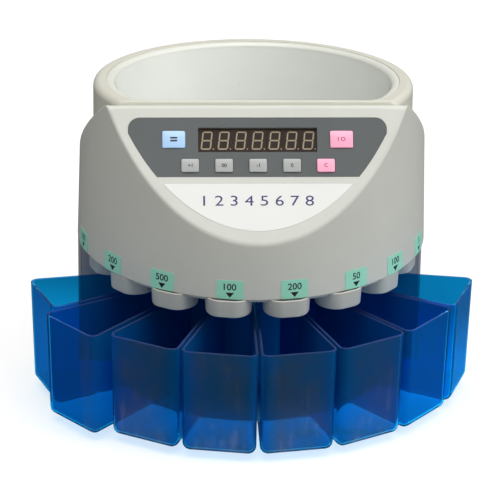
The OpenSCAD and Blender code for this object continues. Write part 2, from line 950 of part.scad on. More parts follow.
module panel_overlay() {
    color("dimgray")
        in_drum()
            difference() {
                overlay_slab(-trim_recess, -trim_recess + overlay_t);
                on_panel()
                    panel_holes(slip, seat, -wall, over);
            }
}

module lower_plate() {
    color("white")
        in_drum()
            panel_slab(
                lower_plate_top, lower_plate_top + lower_plate_h, -trim_recess, lower_plate_t - trim_recess);
}

module display_window() {
    color("maroon", 0.6)
        in_drum()
            on_panel()
                translate([-window_w / 2, -window_top - window_h, -module_face])
                    cube([window_w, window_h, window_t]);
}

module display_module() {
    digit_w = window_w / digit_count;
    low = 2 * seat - window_top - window_h;
    color("black")
        in_drum()
            on_panel()
                for (k = [0:digit_count - 1])
                    translate([k * digit_w - window_w / 2 + seat, low, -board_face])
                        cube([digit_w - 2 * seat, window_h - 4 * seat, module_t]);
}

module display_board() {
    color("darkgreen")
        in_drum()
            on_panel()
                translate([-display_board_w / 2, -display_board_bottom, -board_face - display_board_t])
                    cube([display_board_w, display_board_bottom - display_board_top, display_board_t]);
}

module board_screws() {
    color("silver")
        in_drum()
            on_panel()
                for (side = [-1, 1])
                    for (s = post_s)
                        translate([side * post_x, -s, -board_face - display_board_t - screw_h])
                            cylinder(h = screw_h, r = screw_r);
}

module key_switch() {
    translate([-switch_side / 2, -switch_side / 2, -board_face])
        cube([switch_side, switch_side, board_face - switch_top - plunger_h]);
    translate([0, 0, -switch_top - plunger_h - thin])
        cylinder(h = plunger_h + thin, r = switch_side / 4);
}

module key_switches() {
    color("black")
        in_drum()
            on_panel() {
                for (side = [-1, 1])
                    translate([side * big_key_x, -big_key_s, 0])
                        key_switch();
                for (k = [1:5])
                    translate([small_key_x(k), -small_key_s, 0])
                        key_switch();
            }
}

module coin_labels() {
    color("mediumaquamarine")
        in_drum()
            for (angle = label_turn)
                at_turn(angle)
                    intersection() {
                        difference() {
                            drum_cone(skirt_z, skirt_z + label_h, -label_t - label_gap);
                            drum_cone(skirt_z - over, skirt_z + label_h + over, -label_gap);
                        }
                        translate([-label_w / 2, -far, 0])
                            cube([label_w, far, far]);
                    }
}

// Hopper

// Round outline of the collar's body and rim, r outwards and z up
module collar_profile() {
    difference() {
        union() {
            translate([0, -far / 2])
                square([collar_r, far / 2 - rim_round]);
            translate([0, -rim_round - thin])
                square([collar_r - rim_round, rim_round + thin]);
            translate([collar_r - rim_round, -rim_round])
                circle(rim_round);
        }
        translate([-far, -far])
            square([far, 2 * far]);
    }
}

module hopper_collar() {
    color("whitesmoke")
        in_drum()
            intersection() {
                on_rim()
                    difference() {
                        intersection() {
                            rotate_extrude()
                                collar_profile();
                            translate([0, 0, -far / 2])
                                linear_extrude(height = far)
                                    collar_plan(collar_r + over, hopper_front);
                        }
                        translate([0, 0, -far / 2 + lip_seat_z - wall])
                            linear_extrude(height = far / 2)
                                collar_plan(collar_r - wall, hopper_front - wall);
                        mouth_prism(mouth_r - lip_seat_w, hopper_front - front_land - lip_seat_w,
                                    mouth_corner - lip_seat_w, -far / 2, far / 2);
                        mouth_prism(mouth_r, hopper_front - front_land, mouth_corner, lip_seat_z, far / 2);
                    }
                translate([-far / 2, -far / 2, shoulder_z])
                    cube([far, far, far]);
            }
}

// Funnel of the bowl between two heights below the rim, as wide as the bowl at the lip's underside
module bowl_funnel(grow, z0, z1) {
    flare = (bowl_r - bowl_bottom_r) / (rim_z + lip_seat_z - bowl_z);
    translate([0, 0, z0])
        cylinder(
            h = z1 - z0,
            r1 = bowl_r + grow + flare * (z0 - lip_seat_z),
            r2 = bowl_r + grow + flare * (z1 - lip_seat_z)
        );
}

// Straight prism of the mouth's outline
module mouth_prism(r, front, corner, z0, z1) {
    translate([0, 0, z0])
        linear_extrude(height = z1 - z0)
            mouth_plan(r, front, corner);
}

module hopper_bowl() {
    lip_front = hopper_front - front_land - seat;
    bowl_front = lip_front - lip_w;
    low = -far / 3;
    color("honeydew")
        in_drum()
            intersection() {
                on_rim()
                    difference() {
                        union() {
                            intersection() {
                                bowl_funnel(bowl_wall, low, lip_seat_z + lip_t / 2);
                                mouth_prism(bowl_r + bowl_wall, bowl_front + bowl_wall,
                                            mouth_corner - lip_w + bowl_wall, low - over, over);
                            }
                            mouth_prism(mouth_r - seat, lip_front, mouth_corner,
                                        lip_seat_z, lip_seat_z + lip_t);
                        }
                        intersection() {
                            bowl_funnel(0, low - over, 2 * over);
                            mouth_prism(bowl_r, bowl_front, mouth_corner - lip_w, low - 2 * over, over);
                        }
                    }
                translate([-far / 2, -far / 2, bowl_z])
                    cube([far, far, far]);
            }
}

// Sorting mechanism

module sorting_ring() {
    color("silver")
        in_drum()
            difference() {
                translate([0, 0, skirt_z])
                    tube(ring_top - skirt_z, ring_r, ring_r - ring_wall);
                for (k = [1:box_count])
                    at_turn(turn(k))
                        translate([-(slot_first + k * slot_step) / 2, -ring_r - over, disc_top])
                            cube([slot_first + k * slot_step, ring_wall + 3 * over, slot_h]);
            }
}

module coin_sensors() {
    color("black")
        in_drum()
            for (k = [1:box_count])
                at_turn(turn(k))
                    translate([-sensor_w / 2, -ring_r - sensor_out, ring_top])
                        difference() {
                            cube([sensor_w, ring_wall + sensor_out, sensor_h]);
                            translate([sensor_w / 4, -over, -over])
                                cube([sensor_w / 2, sensor_out, sensor_h - over]);
                        }
}

module turntable() {
    color("lightsteelblue")
        in_drum() {
            difference() {
                union() {
                    translate([0, 0, disc_z])
                        cylinder(h = disc_t, r = disc_r);
                    translate([0, 0, disc_z - hub_h])
                        cylinder(h = hub_h + over, r = bearing_r + bearing_flange);
                    for (angle = [0:360 / rib_count:359])
                        at_turn(angle)
                            translate([-rib_w / 2, -bowl_bottom_r, disc_top - over])
                                cube([rib_w, bowl_bottom_r - rib_start, disc_rib + over]);
                }
                cylinder(h = far, r = spindle_r + run);
            }
        }
}

module center_cone() {
    ball_r = 1.25 * cone_top_r;
    color("gray")
        in_drum()
            translate([0, 0, disc_top])
                difference() {
                    union() {
                        cylinder(h = cone_h, r1 = cone_r, r2 = cone_top_r);
                        intersection() {
                            translate([0, 0, cone_h - sqrt(pow(ball_r, 2) - pow(cone_top_r, 2))])
                                sphere(r = ball_r);
                            translate([0, 0, cone_h - thin])
                                cylinder(h = far, r = cone_top_r);
                        }
                    }
                    translate([0, 0, -over])
                        cylinder(h = cone_h / 2 + over, r = spindle_r + run);
                }
}

module spindle() {
    color("silver")
        in_drum()
            translate([0, 0, base_top + base_t + run])
                cylinder(h = disc_top + cone_h / 2 - base_top - base_t - 2 * run, r = spindle_r);
}

module upper_bearing() {
    color("goldenrod")
        in_drum()
            difference() {
                union() {
                    translate([0, 0, deck_z - bearing_flange])
                        cylinder(h = deck_t + bearing_flange + over, r = bearing_r);
                    translate([0, 0, skirt_z])
                        cylinder(h = bearing_flange, r = bearing_r + bearing_flange);
                }
                cylinder(h = far, r = spindle_r + run);
            }
}

module lower_bearing() {
    color("goldenrod")
        in_drum()
            translate([0, 0, base_top])
                difference() {
                    union() {
                        cylinder(h = bearing_flange, r = bearing_r + 2 * bearing_flange);
                        cylinder(h = bearing_h, r = bearing_r);
                    }
                    translate([0, 0, base_t])
                        cylinder(h = far, r = spindle_r + run);
                }
}

module drive_pulley() {
    color("dimgray")
        in_drum()
            translate([0, 0, pulley_z])
                pulley(drive_pulley_r, spindle_r + run);
}

module motor_pulley() {
    color("dimgray")
        in_drum()
            translate([0, motor_y, pulley_z])
                pulley(motor_pulley_r, shaft_r + run);
}

module motor_shaft() {
    color("silver")
        in_drum()
            translate([0, motor_y, motor_top - shaft_in])
                cylinder(h = pulley_z + pulley_h - motor_top + shaft_in + over, r = shaft_r);
}

module drive_motor() {
    color("darkgray")
        in_drum()
            translate([0, motor_y, motor_top - motor_h])
                difference() {
                    union() {
                        cylinder(h = motor_h, r = motor_r);
                        cylinder(h = motor_h + bracket_t, r = motor_boss_r);
                    }
                    translate([0, 0, motor_h - shaft_in - run])
                        cylinder(h = far, r = shaft_r + run);
                }
}

module motor_bracket() {
    half_w = motor_r + 2 * bracket_t;
    color("silver")
        in_drum()
            translate([0, motor_y, motor_top])
                difference() {
                    union() {
                        translate([-half_w, -motor_r, 0])
                            cube([2 * half_w, 2 * motor_r, bracket_t]);
                        for (x = [-half_w, half_w - bracket_t])
                            translate([x, -motor_r, 0])
                                cube([bracket_t, 2 * motor_r, deck_z - motor_top]);
                    }
                    translate([0, 0, -over])
                        cylinder(h = bracket_t + 2 * over, r = motor_boss_r + seat);
                }
}

module drive_belt() {
    color("black")
        in_drum()
            translate([0, 0, pulley_z + groove + slip])
                linear_extrude(height = pulley_h - 2 * (groove + slip))
                    difference() {
                        belt_loop(slip + belt_t);
                        belt_loop(slip);
                    }
}

// Electronics

module control_board() {
    chip = board_w / 4;
    color("darkgreen")
        in_drum()
            translate([board_x, board_y, base_top + standoff_h]) {
                cube([board_w, board_d, board_t]);
                translate([board_w / 2 - chip, board_d / 2 - chip / 2, 0])
                    cube([chip, chip, board_t + chip_h]);
                translate([2 * standoff_edge, board_d - 3 * standoff_edge, 0])
                    cube([board_w / 2, 2 * standoff_edge - over, board_t + plug_h]);
                for (x = [0.72, 0.86])
                    translate([x * board_w, board_d / 3, 0])
                        cylinder(h = board_t + can_h, r = can_r);
                translate([board_w - 3.5 * standoff_edge, board_d / 2 + over, 0])
                    cube([heat_sink_t, board_d / 4, board_t + heat_sink_h]);
            }
}

module board_standoffs() {
    color("goldenrod")
        in_drum()
            for (x = [standoff_edge, board_w - standoff_edge])
                for (y = [standoff_edge, board_d - standoff_edge])
                    translate([board_x + x, board_y + y, base_top])
                        cylinder(h = standoff_h, r = screw_r);
}

module transformer() {
    limb = core_w / 6;
    color("dimgray")
        in_drum()
            translate([-board_x - core_w, board_y + 2 * coil_out, base_top]) {
                difference() {
                    cube([core_w, core_d, core_h]);
                    for (x = [limb, 3.5 * limb])
                        translate([x, -over, limb])
                            cube([1.5 * limb, core_d + 2 * over, core_h - 2 * limb]);
                }
                for (x = [limb, 3.5 * limb])
                    translate([x - thin, -coil_out, limb + over])
                        cube([1.5 * limb + 2 * thin, core_d + 2 * coil_out, core_h - 2 * limb - 2 * over]);
            }
}

// Moving pieces with a node each

module coin_box_1() { coin_box(1); }
module coin_box_2() { coin_box(2, box_pulled); }
module coin_box_3() { coin_box(3); }
module coin_box_4() { coin_box(4); }
module coin_box_5() { coin_box(5); }
module coin_box_6() { coin_box(6); }
module coin_box_7() { coin_box(7); }
module coin_box_8() { coin_box(8); }
module key_left() { key(-big_key_x, big_key_s, big_key_w, big_key_h); }
module key_right() { key(big_key_x, big_key_s, big_key_w, big_key_h); }
module key_1() { key(small_key_x(1), small_key_s, small_key_w, small_key_h); }
module key_2() { key(small_key_x(2), small_key_s, small_key_w, small_key_h); }
module key_3() { key(small_key_x(3), small_key_s, small_key_w, small_key_h); }
module key_4() { key(small_key_x(4), small_key_s, small_key_w, small_key_h); }
module key_5() { key(small_key_x(5), small_key_s, small_key_w, small_key_h); }

base_plate();
rubber_feet();
base_screws();
rear_housing();
bay_wall();
center_column();
sort_deck();
coin_chutes();
front_cover();
hopper_collar();
hopper_bowl();
coin_labels();
sorting_ring();
coin_sensors();
upper_bearing();
lower_bearing();
drive_motor();
motor_bracket();
drive_belt();
control_board();
board_standoffs();
transformer();
panel_overlay();
lower_plate();
display_window();
display_module();
display_board();
board_screws();
key_switches();
power_inlet();
switch_frame();
fuse_holder();
turntable();
center_cone();
spindle();
drive_pulley();
motor_shaft();
motor_pulley();
coin_box_1();
coin_box_2();
coin_box_3();
coin_box_4();
coin_box_5();
coin_box_6();
coin_box_7();
coin_box_8();
key_left();
key_right();
key_1();
key_2();
key_3();
key_4();
key_5();
power_rocker();
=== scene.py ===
"""Looks of a coin counter: a drum with a hopper, a key panel and eight blue boxes in a fan."""
import json
import math

import bmesh
import bpy
from bpy.props import FloatProperty, FloatVectorProperty, IntProperty, PointerProperty
from mathutils import Matrix, Vector


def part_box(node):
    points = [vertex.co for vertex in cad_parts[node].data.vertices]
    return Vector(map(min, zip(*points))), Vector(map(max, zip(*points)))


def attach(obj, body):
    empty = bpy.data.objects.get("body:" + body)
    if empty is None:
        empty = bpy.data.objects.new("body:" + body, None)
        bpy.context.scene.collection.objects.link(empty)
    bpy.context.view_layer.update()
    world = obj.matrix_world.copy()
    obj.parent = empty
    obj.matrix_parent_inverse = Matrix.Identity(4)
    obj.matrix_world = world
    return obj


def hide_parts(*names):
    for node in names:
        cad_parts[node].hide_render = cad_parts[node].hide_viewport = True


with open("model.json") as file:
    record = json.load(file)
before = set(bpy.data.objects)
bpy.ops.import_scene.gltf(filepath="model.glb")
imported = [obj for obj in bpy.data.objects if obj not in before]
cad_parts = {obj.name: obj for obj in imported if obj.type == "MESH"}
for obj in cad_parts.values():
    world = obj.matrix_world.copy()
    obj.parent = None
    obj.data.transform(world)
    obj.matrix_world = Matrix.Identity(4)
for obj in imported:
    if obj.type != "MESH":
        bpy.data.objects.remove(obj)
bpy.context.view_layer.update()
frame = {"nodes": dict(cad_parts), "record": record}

bl_info = {
    "name": "Coin Counter",
    "version": (1, 0, 0),
    "blender": (4, 5, 0),
    "location": "View3D > Sidebar > Coin Counter",
    "description": "Dresses a coin counter with its covers, hopper, keys, labels and boxes",
    "category": "Add Mesh",
}

# Metres in a millimetre, merging distances, clearances of moving and of seated pieces, thickness of print
MM = 0.001
TINY = 1e-7
CLOSE = 1e-6
SLIP = 0.3 * MM
SEAT = 0.1 * MM
INK = 0.02 * MM
BOX_COUNT = 8
MATERIALS = {}


def middle(node):
    """Middle of a node's box."""
    low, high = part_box(node)
    return (low + high) / 2


AXIS = Vector((0.0, middle("turntable").y, 0.0))
SKIRT_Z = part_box("front_cover")[0].z
SHOULDER_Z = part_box("hopper_collar")[0].z
BOWL_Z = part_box("hopper_bowl")[0].z
DECK_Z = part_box("sort_deck")[0].z
CHUTE_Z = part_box("coin_chutes")[0].z
BOX_Z, BOX_TOP = (corner.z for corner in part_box("coin_box_1"))
DRUM_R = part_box("rear_housing")[1].x


def srgb(red, green, blue):
    """Linear colour of a screen colour given from 0 to 255."""
    parts = [value / 255 for value in (red, green, blue)]
    return tuple(p / 12.92 if p <= 0.04045 else ((p + 0.055) / 1.055) ** 2.4 for p in parts)


def length(name, about, size):
    """Length property with its default in millimetres."""
    return FloatProperty(name=name, description=about, default=size * MM, unit="LENGTH", precision=5)


def angle(name, about, degrees):
    """Angle property with its default in degrees."""
    return FloatProperty(name=name, description=about, default=math.radians(degrees), subtype="ANGLE")


def colour(name, about, red, green, blue):
    """Colour property with its default as a screen colour."""
    return FloatVectorProperty(
        name=name, description=about, default=srgb(red, green, blue), size=3, min=0, max=1, subtype="COLOR")


class DrumSizes(bpy.types.PropertyGroup):
    """Sizes of the front cover."""
    radius: length("Radius", "Outer radius of the drum at its lower edge", DRUM_R / MM)
    draft: angle("Draft", "Draft of the drum wall", 1.67)
    wall: length("Wall", "Wall of the covers", 2.6)
    split_y: length("Split", "Joint between the covers, behind the drum axis", 4)
    ridge_front: length("Ridge front", "Ridge in front of the drum axis", 70.8)
    ridge_z: length("Ridge height", "Height of the ridge's corner", 255.5)
    ridge_round: length("Ridge rounding", "Rounding of the ridge", 3.6)
    rim_edge: length("Panel edge", "Rounding between panel and drum wall", 1.0)
    shoulder_edge: length("Shoulder edge", "Rounding along the shoulders", 1.2)
    panel_slope: angle("Panel slope", "Slope of the panel", 52.8)
    deck_slope: angle("Shoulder slope", "Slope of the shoulders", 39.9)
    segments: IntProperty(name="Segments", description="Facets round the drum", default=200)


class PanelSizes(bpy.types.PropertyGroup):
    """Sizes of the panel's trim, display and keys."""
    overlay_top: length("Overlay top", "Overlay's edge below the ridge", 11)
    overlay_h: length("Overlay height", "Height of the overlay along the panel", 47.5)
    overlay_w: length("Overlay width", "Width across the overlay's top corners", 199.5)
    overlay_corner: length("Overlay corner", "Corner radius at the overlay's top", 9)
    band_h: length("Band", "Bare band between overlay and lower plate", 5.4)
    plate_h: length("Plate height", "Height of the lower plate along the panel", 38.1)
    plate_lift: length("Plate lift", "Face of the lower plate above the panel", 0.2)
    recess: length("Recess", "Depth of the recesses for the trim", 0.6)
    border: length("Border", "Round edge of the trim inside the drum wall", 11.2)
    shift: length("Shift", "Centre of that round edge in front of the axis", 3.2)
    window_w: length("Window width", "Width of the display window", 91.4)
    window_h: length("Window height", "Height of the display window", 19.4)
    window_top: length("Window top", "Window's edge below the ridge", 19.1)
    window_t: length("Window thickness", "Thickness of the window", 2.2)
    overlay_t: length("Overlay thickness", "Thickness of the overlay", 0.5)
    digit_h: length("Digit height", "Height of a digit", 14.6)
    digit_w: length("Digit width", "Width of a digit", 8)
    digit_lean: angle("Digit lean", "Lean of the digits", 7)
    stroke: length("Stroke", "Width of a digit's bars", 1.1)
    digits: IntProperty(name="Digits", description="Number of digits", default=7)
    row_h: length("Row height", "Height of the figures on the lower plate", 8)
    row_stretch: FloatProperty(name="Row stretch", description="Stretch of those figures", default=1.3)
    row_s: length("Row drop", "Middle of that row below the plate's upper edge", 13.5)
    big_w: length("Large key width", "Width of a large key", 17.7)
    big_h: length("Large key height", "Height of a large key", 13.7)
    big_x: length("Large key place", "Large key from the middle", 64.6)
    big_s: length("Large key drop", "Large key below the ridge", 28.6)
    small_w: length("Small key width", "Width of a small key", 13.6)
    small_h: length("Small key height", "Height of a small key", 10.6)
    small_pitch: length("Small key pitch", "Spacing of the small keys", 26.1)
    small_s: length("Small key drop", "Small keys below the ridge", 49.5)
    key_corner: length("Key corner", "Corner radius of the keys", 1.1)
    key_proud: length("Key height", "Height of the keys above the panel", 1.2)
    key_dome: length("Key dome", "Radius of the keys' domed tops", 70)
    key_flange: length("Key flange", "Flange that keeps a key in its hole", 1.2)


class HopperSizes(bpy.types.PropertyGroup):
    """Sizes of the collar and the bowl."""
    rim_z: length("Rim height", "Height of the rim's middle", 251.3)
    tilt: angle("Tilt", "Tilt of the rim, front edge up", 4.3)
    shoulder: length("Shoulder", "Width of the shoulder round the collar", 13.2)
    band: length("Band", "Width of the rim's flat top", 10.7)
    rounding: length("Rounding", "Rounding of the rim's outer edge", 5.5)
    front: length("Front", "Collar's flat front in front of the axis", 67.5)
    land: length("Land", "Flat front's land before the lip", 3)
    corner: length("Corner", "Corner between round mouth and straight front", 20)
    lip_w: length("Lip width", "Width of the bowl's lip", 3.7)
    roll: length("Roll", "Rolled inner edge of the lip round the mouth", 3)
    lip_t: length("Lip thickness", "Thickness of the lip", 2.4)
    lip_step: length("Lip step", "Step of the lip below the rim", 0.4)
    wall: length("Bowl wall", "Wall of the bowl", 2.4)
    bottom_r: length("Bottom radius", "Radius of the bowl's lower opening", 84)


class BoxSizes(bpy.types.PropertyGroup):
    """Sizes of the coin boxes."""
    pitch: angle("Pitch", "Angle between neighbouring boxes", 20)
    outer_u: length("Outer wall", "Outer walls from the drum axis", 180)
    inner_u: length("Inner end", "Inner ends from the drum axis", 58)
    wall: length("Wall", "Wall of a box", 2)
    gap: length("Gap", "Half of the gap between neighbours", 1)
    corner: length("Corner", "Radius of the upright corners", 6.5)
    foot: length("Foot", "Rounding along the lower edges", 6)
    draft_out: length("Outer draft", "Draft of the outer wall, top to bottom", 2.2)
    draft_side: length("Side draft", "Draft of the side walls, top to bottom", 0.3)
    rim: length("Rim", "Rounding of the upper edge", 0.7)
    pulled: length("Pulled out", "Distance that the second box stands pulled out", 12)
    tongue: length("Tongue", "Length and width of the tongue at the inner end", 8)


class ChuteSizes(bpy.types.PropertyGroup):
    """Sizes of the coin chutes."""
    radius: length("Radius", "Outer radius of a chute at its top", 18.6)
    taper: length("Taper", "Taper of a chute over its length", 0.7)
    flat: length("Flat", "Flat front from a chute's middle", 16)
    corner: length("Corner", "Rounding between flat front and round sides", 12)
    wall: length("Wall", "Wall of a chute", 2.8)
    flat_wall: length("Front wall", "Wall of the flat front", 2.2)
    edge: length("Edge", "Rounding of the edges", 0.9)
    proud: length("Proud", "Middle chutes in front of the drum wall", 6.4)
    set_back: length("Set back", "Outermost chutes nearer to the drum axis", 7.5)


class LabelSizes(bpy.types.PropertyGroup):
    """Sizes of the number labels."""
    width: length("Width", "Width of a label", 21)
    height: length("Height", "Height of a label", 15.5)
    corner: length("Corner", "Corner radius of a label", 1.8)
    lift: length("Lift", "Outer face in front of the drum wall", 0.27)
    figure: length("Figure", "Height of the numbers", 5.5)
    arrow_w: length("Arrow width", "Width of the triangle", 6.6)
    arrow_h: length("Arrow height", "Height of the triangle", 4.2)


class CameraSettings(bpy.types.PropertyGroup):
    """Place of the camera."""
    azimuth: angle("Azimuth", "Direction round the object, to the right", -2.75)
    elevation: angle("Elevation", "Height above the horizon", 23.02)
    roll: angle("Roll", "Turn of the picture", 0.92)
    distance: length("Distance", "Distance from the target", 2400)
    target_z: length("Target height", "Height of the target on the drum axis", 102.92)
    lens: FloatProperty(name="Lens", description="Focal length in millimetres", default=212.36)
    shift: FloatProperty(name="Shift", description="Sideways shift, a share of the picture", default=-0.0009)


class CounterColours(bpy.types.PropertyGroup):
    """Colours of the finishes."""
    cover: colour("Cover", "Moulded front cover", 201, 202, 194)
    collar: colour("Collar", "Hopper collar", 208, 207, 194)
    bowl: colour("Bowl", "Hopper bowl", 226, 229, 222)
    lip: colour("Lip", "Lip of the bowl", 214, 215, 206)
    rear: colour("Rear housing", "Rear housing", 206, 206, 198)
    chute: colour("Chute", "Coin chutes", 185, 184, 176)
    overlay: colour("Overlay", "Dark panel overlay", 92, 96, 96)
    plate: colour("Plate", "White lower plate", 224, 224, 221)
    key_blue: colour("Blue key", "Large left key", 168, 204, 240)
    key_pink: colour("Pink key", "Large right key and last small key", 252, 170, 198)
    key_grey: colour("Grey key", "Four small keys", 166, 168, 166)
    label: colour("Label", "Number labels", 152, 222, 197)
    box: colour("Box", "Coin boxes", 12, 148, 208)
    # Painted highlight: a pale lilac rim colour that stands in for glints of light along the boxes' upper edges
    box_rim_highlight: colour("Box rim", "Upper edges of the coin boxes", 120, 138, 196)
    # Haze colour: partly rubbing, partly a painted dark reflection on the front walls; it also colours the
    # painted glow of the scratches
    box_haze_and_glow: colour("Box haze", "Rubbed floors and walls of the coin boxes", 100, 96, 103)
    ink: colour("Ink", "Dark print", 24, 26, 30)
    red_ink: colour("Red ink", "Marks on the pink keys", 176, 40, 84)
    navy: colour("Navy", "Figures on the lower plate", 38, 46, 104)
    segment: colour("Segment", "Unlit bars of the digits", 222, 204, 172)
    floor: colour("Floor", "Floor and backdrop", 168, 168, 168)


# Shader groups and materials

FLOAT, VECTOR, COLOUR = "NodeSocketFloat", "NodeSocketVector", "NodeSocketColor"
BLACK, WHITE = (0, 0, 0, 1), (1, 1, 1, 1)
SPECK = (0.16, 0.15, 0.12, 1)

# Painted light: glow of the floor seen only through the boxes, brighter to the right, standing in for the key
# light from the right; direction, and the ramp along it
PAINTED_FLOOR_GLOW = {
    (1, 0, 0): {"start": -0.1, "end": 0.25, "least": 1.2, "most": 3.0},
    (0, 1, 0): {"start": -0.17, "end": -0.06, "least": 0.5, "most": 1.0},
    (0.3, 1, 0): {"start": 0.05, "end": 0.18, "least": 1.0, "most": 0.25},
}


def feed(tree, node, inputs):
    """Sets a node's inputs to values, or links them to other nodes' outputs."""
    for socket, value in inputs.items():
        if isinstance(value, bpy.types.NodeSocket):
            tree.links.new(value, node.inputs[socket])
        else:
            node.inputs[socket].default_value = value


def add_node(tree, kind, inputs=None, **settings):
    """Node with its settings and inputs."""
    node = tree.nodes.new(kind)
    for key, value in settings.items():
        setattr(node, key, value)
    feed(tree, node, inputs or {})
    return node


def object_place(tree):
    """Place on the object."""
    return add_node(tree, "ShaderNodeTexCoord").outputs["Object"]


def stretched(tree, place, stretch):
    """Place with its axes stretched."""
    node = add_node(tree, "ShaderNodeVectorMath", {0: place, 1: stretch}, operation="MULTIPLY")
    return node.outputs["Vector"]


def along(tree, place, direction):
    """Distance of a place along a direction."""
    node = add_node(tree, "ShaderNodeVectorMath", {0: place, 1: direction}, operation="DOT_PRODUCT")
    return node.outputs["Value"]


def maths(tree, operation, *values, clamp=False):
    """Result of one operation on numbers or sockets."""
    node = add_node(tree, "ShaderNodeMath", dict(enumerate(values)), operation=operation, use_clamp=clamp)
    return node.outputs["Value"]


def product(tree, result, *others):
    """Product of several sockets."""
    for socket in others:
        result = maths(tree, "MULTIPLY", result, socket)
    return result


def ramp(tree, value, start, end, least=0.0, most=1.0):
    """Value that goes from least to most between a start and an end."""
    limits = {"Value": value, "From Min": start, "From Max": end, "To Min": least, "To Max": most}
    return add_node(tree, "ShaderNodeMapRange", limits).outputs["Result"]


def mix(tree, share, first, second):
    """Colour between two colours."""
    colours = {"Factor": share, "A": first, "B": second}
    return add_node(tree, "ShaderNodeMix", colours, data_type="RGBA").outputs["Result"]


def noise(tree, place, scale, detail, roughness=0.5):
    """Noise from 0 to 1."""
    inputs = {"Vector": place, "Scale": scale, "Detail": detail, "Roughness": roughness}
    return add_node(tree, "ShaderNodeTexNoise", inputs).outputs["Fac"]


def shared_group(name, inputs, outputs, build):
    """Shader group, made on its first use, whose outputs a function works out from its inputs."""
    if name not in bpy.data.node_groups:
        tree = bpy.data.node_groups.new(name, "ShaderNodeTree")
        for label, kind, value in inputs:
            socket = tree.interface.new_socket(name=label, in_out="INPUT", socket_type=kind)
            socket.default_value = value
        for label, kind in outputs:
            tree.interface.new_socket(name=label, in_out="OUTPUT", socket_type=kind)
        given, made = tree.nodes.new("NodeGroupInput"), tree.nodes.new("NodeGroupOutput")
        feed(tree, made, build(tree, given.outputs))
    return bpy.data.node_groups[name]


def build_moulded(tree, given):
    """Slow cloudiness, fine grain and a few dark specks."""
    place = object_place(tree)
    cloud = ramp(tree, noise(tree, place, given["Cloud Scale"], 4.0, 0.6), start=0.35, end=0.7)
    cells = add_node(tree, "ShaderNodeTexVoronoi", {"Vector": place, "Scale": 160.0, "Randomness": 1.0}).outputs
    dot = ramp(tree, cells["Distance"], start=0.05, end=0.11, least=1.0, most=0.0)
    rare = ramp(tree, cells["Color"], start=0.8, end=0.82)
    spots = product(tree, dot, given["Specks"], rare)
    return {
        "Colour": mix(tree, spots, mix(tree, cloud, given["Colour"], given["Shade"]), SPECK),
        "Roughness": maths(tree, "MULTIPLY_ADD", cloud, 0.16, given["Roughness"]),
        "Height": noise(tree, place, given["Grain Scale"], 2.0),
    }


def moulded_group():
    """Finish of moulded plastic."""
    return shared_group(
        "moulded_finish",
        [
            ("Colour", COLOUR, (0.7, 0.7, 0.7, 1)),
            ("Shade", COLOUR, (0.6, 0.6, 0.6, 1)),
            ("Roughness", FLOAT, 0.4),
            ("Cloud Scale", FLOAT, 14.0),
            ("Grain Scale", FLOAT, 1800.0),
            ("Specks", FLOAT, 0.3),
        ],
        [("Colour", COLOUR), ("Roughness", FLOAT), ("Height", FLOAT)],
        build_moulded,
    )


def build_scuffs(tree, given):
    """Fine scratches inside rubbed patches."""
    place = object_place(tree)
    lines = noise(tree, stretched(tree, place, given["Stretch"]), given["Scale"], 6.0, 0.7)
    scratch = ramp(tree, lines, start=given["Start"], end=0.74)
    patch = ramp(tree, noise(tree, place, 22.0, 5.0, 0.65), start=0.42, end=0.72)
    return {"Mask": product(tree, scratch, patch), "Patch": patch}


def scuff_group():
    """Scratches and rubbed patches, as masks from 0 to 1."""
    return shared_group(
        "scuff_marks",
        [("Scale", FLOAT, 60.0), ("Stretch", VECTOR, (1.0, 1.0, 0.15)), ("Start", FLOAT, 0.6)],
        [("Mask", FLOAT), ("Patch", FLOAT)],
        build_scuffs,
    )


